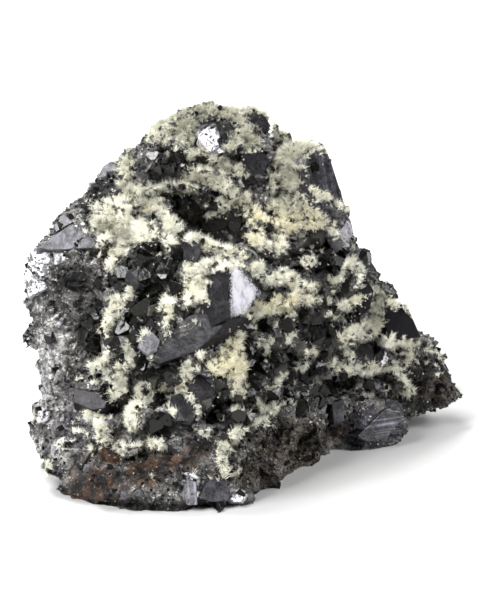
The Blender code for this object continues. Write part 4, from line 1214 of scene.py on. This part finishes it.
def cleaved_cubes(crystal, ore):
    """Small cleaved cubes of galena, each turned as its grain of ore is, part sunk in it."""

    def weight(centres, normals):
        places = FRONT.places(centres)
        front = facing_front(normals)
        field = zone_shares(places, "sphalerite") + zone_shares(places, "rust")
        bare = (1.0 - druse_shares(centres, normals)) ** 3 * (centres[:, 2] > LOWEST_CHIP)
        return np.clip(1.0 - front * field, 0.08, 1.0) * bare * clear_shares(places)

    mass = [made["ore_mass"].data]
    points, normals, chance = scattered(mass, weight, crystal.chip_count, CHIP_SEED)
    sizes = chance.random(len(points)) ** 3
    sizes = crystal.chip_low + (crystal.chip_high - crystal.chip_low) * sizes
    turns, _ = grain_turns(points, ore.grain_size)
    stretch = 0.6 + 0.8 * chance.random((len(points), 3))
    centres = points - normals * (sizes * CHIP_DEPTH)[:, None]
    placements = placed(centres, turns, sizes[:, None] * stretch)
    places, front = FRONT.places(points), facing_front(normals)
    # Cubes are darker in the dark zones, as painted shade, and in the brown zones, where the
    # carbonate is darker
    darkening = zone_shares(places, "dark") + 0.8 * zone_shares(places, "brown")
    darkening = np.clip(darkening, 0.0, 1.0) * front
    tones = 0.6 * chance.random(len(points)) ** 2.5 * (1.0 - 0.8 * darkening)
    tones += 0.6 * zone_shares(places, "pale") * front
    return copies_joined("cleaved_cubes", cut_cube("chip", [], 0.0), placements, {"tone": tones})


def needle_shape():
    """One needle: a three-sided spike from -0.3 to 1 along Z, one wide."""
    bm = bmesh.new()
    bmesh.ops.create_cone(
        bm, segments=3, radius1=0.5, radius2=0.0, depth=1.3, cap_ends=True, cap_tris=False
    )
    bmesh.ops.translate(bm, verts=bm.verts, vec=(0.0, 0.0, 0.35))
    bmesh.ops.remove_doubles(bm, verts=bm.verts, dist=MERGE_DISTANCE)
    bmesh.ops.recalc_face_normals(bm, faces=bm.faces)
    return mesh_of(bm, "needle")


def druse_roots(druse):
    """Where the tufts grow, the surface's normals there, and the generator they come from."""
    meshes = [made[name].data for name in ("ore_mass", *CRYSTALS)]

    def weight(centres, normals):
        share = druse_shares(centres, normals)
        front = facing_front(normals)
        clear = clear_shares(FRONT.places(centres))
        thick = (0.15 + 0.85 * share) * (0.3 + 0.7 * front)
        dust = 0.05 * clear * front * np.clip(noise_values(centres, 0.008, 15.0), 0.0, 1.0)
        return np.where(share > LEAST_DRUSE, thick, dust) * (centres[:, 2] > LOWEST_ROOT)

    return scattered(meshes, weight, druse.tufts, TUFT_SEED)


def needle_placements(druse, roots, normals, tuft, chance):
    """A placement for each needle, spread about its tuft's axis; tuft has each one's tuft."""
    share, count = druse_shares(roots, normals), len(tuft)
    swirl = np.stack([noise_values(roots, 0.004, 11.0 + i) for i in range(3)], axis=1)
    axes = normals + swirl * TUFT_SWIRL + (0.0, 0.0, 0.3)
    axes /= np.linalg.norm(axes, axis=1)[:, None]
    grown = np.where(share > LEAST_DRUSE, 0.5 + 0.5 * share, 0.22)
    grown *= 0.7 + 0.5 * chance.random(len(roots))
    ways = axes[tuft] + chance.normal(size=(count, 3)) * TUFT_SPREAD
    ways /= np.linalg.norm(ways, axis=1)[:, None]
    # None points into the surface that it grows on, or down where it would pass the base
    lean = np.einsum("ni,ni->n", ways, normals[tuft])
    ways += normals[tuft] * np.clip(0.15 - lean, 0.0, 2.0)[:, None]
    low = roots[tuft][:, 2] < LOW_ROOT
    ways[low, 2] = np.abs(ways[low, 2])
    lengths = druse.length * grown[tuft] * (0.6 + 0.6 * chance.random(count))
    widths = druse.width * (0.7 + 0.6 * chance.random(count)) * np.clip(grown[tuft], 0.5, 1.0)
    sizes = np.stack([widths, widths, lengths], axis=1)
    points = roots[tuft] + chance.normal(size=(count, 3)) * TUFT_WIDTH * grown[tuft][:, None]
    return placed(points, turned_to(ways, chance.random(count) * math.tau), sizes)


def needle_looks(roots, normals, tuft, chance):
    """What the material reads on each needle: how shaded, how yellow and how olive it is."""
    places, front = FRONT.places(roots), facing_front(normals)
    mottle = noise_values(roots, DRUSE_COLOUR_PATCH, 4.0)
    yellow = np.clip(front * zone_shares(places, "yellow druse") + mottle * 0.7, 0.0, 1.0)
    olive = front * zone_shares(places, "olive druse") - mottle * 0.5 + (1.0 - front) * 0.3
    olive = np.clip(olive, 0.0, 1.0)
    # Needles darken at random, more where the druse is olive: painted shade between the grains of
    # the druse
    rough = olive * chance.random(len(roots))
    shade = (1.0 - 0.35 * chance.random(len(tuft)) ** 3) * (1.0 - 0.4 * rough[tuft])
    return {"shade": shade, "yellow": yellow[tuft], "olive": olive[tuft]}


def druse_meshes(druse):
    """The needles, in tufts, split into pieces, with what the material reads on their points."""
    roots, normals, chance = druse_roots(druse)
    tuft = np.repeat(np.arange(druse.tufts), druse.needles)
    placements = needle_placements(druse, roots, normals, tuft, chance)
    looks = needle_looks(roots, normals, tuft, chance)
    shape = needle_shape()
    heights = np.clip(vectors(shape.vertices, "co")[:, 2], 0.0, 1.0)
    pieces = []
    for number, picked in enumerate(np.array_split(np.arange(len(tuft)), druse.pieces), 1):
        rows = {key: value[picked] for key, value in looks.items()}
        mesh = copies_joined(f"druse_{number}", shape, placements[picked], rows)
        set_shares(mesh, "height", np.tile(heights, len(picked)))
        pieces.append(mesh)
    return pieces


def backdrop():
    """Floor and backdrop in one sheet, joined by a wide curve."""
    bm = bmesh.new()
    bend, front, back, width, height = 0.5, -1.4, 0.9, 4.0, 2.2
    bmesh.ops.create_grid(bm, x_segments=1, y_segments=1, size=0.5)
    bmesh.ops.scale(bm, verts=bm.verts, vec=(width, back - front, 1.0))
    bmesh.ops.translate(bm, verts=bm.verts, vec=(0.0, (back + front) / 2.0, 0.0))
    edge = [e for e in bm.edges if all(v.co.y > back - 0.05 for v in e.verts)]
    turned = bmesh.ops.spin(
        bm, geom=edge, cent=(0.0, back, bend), axis=(1.0, 0.0, 0.0), angle=math.radians(90),
        steps=24, use_merge=False, use_duplicate=False,
    )
    top = [e for e in turned["geom_last"] if isinstance(e, bmesh.types.BMEdge)]
    raised = bmesh.ops.extrude_edge_only(bm, edges=top)
    verts = [v for v in raised["geom"] if isinstance(v, bmesh.types.BMVert)]
    bmesh.ops.translate(bm, verts=verts, vec=(0.0, 0.0, height))
    bmesh.ops.remove_doubles(bm, verts=bm.verts, dist=MERGE_DISTANCE)
    for face in bm.faces:
        face.smooth = True
    return mesh_of(bm, "backdrop")


def area_light(name, place, width, power):
    """A square softbox that faces the specimen."""
    data = bpy.data.lights.new(name, "AREA")
    data.shape = "RECTANGLE"
    data.size = data.size_y = width
    data.energy = power
    light = new_object(name, data)
    light.location = place
    way = Vector((0.0, 0.0, 0.05)) - Vector(place)
    light.rotation_euler = way.to_track_quat("-Z", "Y").to_euler()


def camera():
    """The camera, which shows the whole grid from the front's eye."""
    lens = bpy.data.cameras.new("camera")
    lens.sensor_fit = "VERTICAL"
    lens.sensor_height = SENSOR_HEIGHT
    lens.lens = SENSOR_HEIGHT * EYE_DISTANCE / (GRID_ROWS * GRID_STEP)
    lens.clip_start, lens.clip_end = 0.01, 20.0
    eye = new_object("camera", lens)
    eye.location = FRONT.eye
    eye.rotation_euler = (-FRONT.to_eye).to_track_quat("-Z", "Y").to_euler()
    return eye


def room(stage):
    """A dim, even room."""
    world = bpy.data.worlds.new("room")
    world.use_nodes = True
    fill(world.node_tree.nodes["Background"], {"Color": "#f7f6f3", "Strength": stage.room})
    return world


# Settings


LENGTH = {"subtype": "DISTANCE", "unit": "LENGTH", "precision": 5}


class GalenaOreSettings(bpy.types.PropertyGroup):
    voxel: FloatProperty(
        name="Voxel", description="Finest detail of the ore's surface", default=0.00062,
        min=0.0004, **LENGTH,
    )
    triangles: IntProperty(
        name="Triangles", description="Triangles kept on the ore", default=190000, min=10000
    )
    grain_size: FloatProperty(
        name="Grain size", description="Width of a grain whose cleavage lies one way",
        default=0.012, **LENGTH,
    )
    low_step: FloatProperty(
        name="Low step", description="Height of the lowest cleavage terraces",
        default=0.0010, **LENGTH,
    )
    high_step: FloatProperty(
        name="High step", description="Height of the highest cleavage terraces",
        default=0.0024, **LENGTH,
    )
    inset: FloatProperty(
        name="Inset", description="How far the ore lies inside the solid", default=0.00025,
        **LENGTH,
    )
    druse_bed: FloatProperty(
        name="Druse bed", description="Depth kept free under the tips of the needles",
        default=0.0011, **LENGTH,
    )
    colour: FloatVectorProperty(
        name="Ore", description="Colour of bare ore", subtype="COLOR", default=linear("#8f8e8b")
    )


class GalenaCrystalSettings(bpy.types.PropertyGroup):
    galena: FloatVectorProperty(
        name="Galena", description="Colour of galena faces", subtype="COLOR",
        default=linear("#1b1a1c"),
    )
    sphalerite: FloatVectorProperty(
        name="Sphalerite", description="Colour of sphalerite", subtype="COLOR",
        default=linear("#080807"),
    )
    fill_count: IntProperty(
        name="Small sphalerites", description="How many small sphalerite crystals", default=560
    )
    fill_low: FloatProperty(
        name="Smallest sphalerite", description="Radius of the smallest of them",
        default=0.0011, **LENGTH,
    )
    fill_high: FloatProperty(
        name="Largest small sphalerite", description="Radius of the largest of them",
        default=0.0034, **LENGTH,
    )
    chip_count: IntProperty(
        name="Cleaved cubes", description="How many small cubes on the broken ore", default=6000
    )
    chip_low: FloatProperty(
        name="Smallest cube", description="Half an edge of the smallest", default=0.00025,
        **LENGTH,
    )
    chip_high: FloatProperty(
        name="Largest cube", description="Half an edge of the largest", default=0.0008,
        **LENGTH,
    )


class GalenaDruseSettings(bpy.types.PropertyGroup):
    tufts: IntProperty(
        name="Tufts", description="How many tufts grow on the specimen", default=11500
    )
    needles: IntProperty(
        name="Needles", description="How many needles each tuft has", default=19
    )
    pieces: IntProperty(
        name="Pieces", description="How many pieces the needles are split into", default=5, min=1
    )
    length: FloatProperty(
        name="Length", description="Length of a usual needle", default=0.0024, **LENGTH
    )
    width: FloatProperty(
        name="Width", description="Width of a needle at its root", default=0.00025, **LENGTH
    )
    cream: FloatVectorProperty(
        name="Cream", description="Colour of most druse", subtype="COLOR",
        default=linear("#faf9ec"),
    )
    yellow: FloatVectorProperty(
        name="Yellow", description="Colour of the yellow druse", subtype="COLOR",
        default=linear("#fffae1"),
    )
    olive: FloatVectorProperty(
        name="Olive", description="Colour of the olive druse", subtype="COLOR",
        default=linear("#d6d5c3"),
    )


class GalenaStageSettings(bpy.types.PropertyGroup):
    top_power: FloatProperty(
        name="Top light", description="Power of the light overhead", default=17.5, unit="POWER"
    )
    left_power: FloatProperty(
        name="Left light", description="Power of the light at the left", default=21, unit="POWER"
    )
    right_power: FloatProperty(
        name="Right light", description="Power of the light at the right", default=10.5,
        unit="POWER",
    )
    room: FloatProperty(
        name="Room", description="Brightness of the room around the stage", default=0.13
    )
    # The paper glow is painted light: the paper emits it, with no lamp behind the paper
    glow: FloatProperty(
        name="Paper glow", description="Light that comes through the paper from behind",
        default=0.9,
    )


# Operators, one for each group of pieces


class GALENA_OT_crystals(bpy.types.Operator):
    """Makes the large, the galena and the sphalerite crystals where the solid has them"""

    bl_idname = "galena.crystals"
    bl_label = "Crystals"

    def execute(self, context):
        crystal = context.scene.galena_crystal
        made["solid"] = tree_of(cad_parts[CAD_NODE].data)
        galena, sphalerite = galena_material(crystal), sphalerite_material(crystal)
        finished("large_crystals", large_crystals(), galena)
        cut, cube = galena_shape(), cut_cube("cleaved_shape", [], GALENA_WEAR)
        meshes = flat_crystals("galena")
        for shape, placements in (
            (cut, front_placements(GALENA, GALENA_SIZE, cut, FIRST_GALENA)),
            (cube, side_placements(cube)),
        ):
            chance = np.random.default_rng(GALENA_TONE_SEED)
            tones = 0.1 + 0.3 * chance.random(len(placements))
            meshes.append(copies_joined("some", shape, placements, {"tone": tones}))
        finished("galena_crystals", joined("galena_crystals", meshes), galena)
        shape = sphalerite_shape(SPHALERITE_WEAR)
        placements = front_placements(SPHALERITE, SPHALERITE_SIZE, shape, FIRST_SPHALERITE)
        chance = np.random.default_rng(SPHALERITE_TONE_SEED)
        tones = 0.3 * chance.random(len(placements)) ** 2
        meshes = flat_crystals("sphalerite")
        meshes.append(copies_joined("some", shape, placements, {"tone": tones}))
        mesh = joined("sphalerite_crystals", meshes)
        finished("sphalerite_crystals", mesh, sphalerite)
        return {"FINISHED"}


class GALENA_OT_ore(bpy.types.Operator):
    """Makes the body of broken ore that stands for the plain solid"""

    bl_idname = "galena.ore"
    bl_label = "Ore"

    def execute(self, context):
        ore = context.scene.galena_ore
        finished("ore_mass", ore_mesh(ore), ore_material(ore), replaces=True)
        return {"FINISHED"}


class GALENA_OT_small_crystals(bpy.types.Operator):
    """Strews small sphalerite crystals and small cleaved cubes of galena over the ore"""

    bl_idname = "galena.small_crystals"
    bl_label = "Small crystals"

    def execute(self, context):
        crystal, ore = context.scene.galena_crystal, context.scene.galena_ore
        black = made["sphalerite_crystals"].data.materials[0]
        finished("small_sphalerite", fill_crystals(crystal), black)
        grey = made["galena_crystals"].data.materials[0]
        finished("cleaved_cubes", cleaved_cubes(crystal, ore), grey)
        return {"FINISHED"}


class GALENA_OT_druse(bpy.types.Operator):
    """Grows the pale needles of the druse on the ore and the crystals"""

    bl_idname = "galena.druse"
    bl_label = "Druse"

    def execute(self, context):
        druse = context.scene.galena_druse
        material = druse_material(druse)
        for mesh in druse_meshes(druse):
            finished(mesh.name, mesh, material)
        return {"FINISHED"}


class GALENA_OT_stage(bpy.types.Operator):
    """Makes the floor and backdrop, the lights and the camera"""

    bl_idname = "galena.stage"
    bl_label = "Stage"

    def execute(self, context):
        scene, stage = context.scene, context.scene.galena_stage
        sheet = backdrop()
        sheet.materials.append(floor_material(stage))
        new_object("backdrop", sheet)
        for name, place, width, power in (
            ("top", (-0.35, 0.25, 1.0), 0.45, stage.top_power),
            ("left", (-0.62, -0.5, 0.8), 0.5, stage.left_power),
            ("right", (0.68, -0.35, 0.75), 0.4, stage.right_power),
        ):
            area_light(name, place, width, power)
        scene.world = room(stage)
        scene.camera = camera()
        scene.view_settings.view_transform = "Standard"
        return {"FINISHED"}


class GALENA_PT_panel(bpy.types.Panel):
    """Lists the steps that build the specimen"""

    bl_idname = "GALENA_PT_panel"
    bl_label = "Galena specimen"
    bl_space_type = "VIEW_3D"
    bl_region_type = "UI"
    bl_category = "Galena"

    def draw(self, context):
        for settings, operators in (
            (context.scene.galena_crystal, ("galena.crystals", "galena.small_crystals")),
            (context.scene.galena_ore, ("galena.ore",)),
            (context.scene.galena_druse, ("galena.druse",)),
            (context.scene.galena_stage, ("galena.stage",)),
        ):
            box = self.layout.box()
            for key in settings.__annotations__:
                box.prop(settings, key)
            for operator in operators:
                box.operator(operator)


SETTINGS = {
    "galena_ore": GalenaOreSettings,
    "galena_crystal": GalenaCrystalSettings,
    "galena_druse": GalenaDruseSettings,
    "galena_stage": GalenaStageSettings,
}
CLASSES = (
    *SETTINGS.values(), GALENA_OT_crystals, GALENA_OT_ore, GALENA_OT_small_crystals,
    GALENA_OT_druse, GALENA_OT_stage, GALENA_PT_panel,
)


def register():
    """Adds the settings, the operators and the panel."""
    for cls in CLASSES:
        bpy.utils.register_class(cls)
    for name, settings in SETTINGS.items():
        setattr(bpy.types.Scene, name, PointerProperty(type=settings))


def unregister():
    """Takes them away again."""
    for name in SETTINGS:
        delattr(bpy.types.Scene, name)
    for cls in reversed(CLASSES):
        bpy.utils.unregister_class(cls)


def main():
    """Builds the stage and the specimen."""
    register()
    bpy.ops.galena.stage()
    bpy.ops.galena.crystals()
    bpy.ops.galena.ore()
    bpy.ops.galena.small_crystals()
    bpy.ops.galena.druse()


if __name__ == "__main__":
    main()
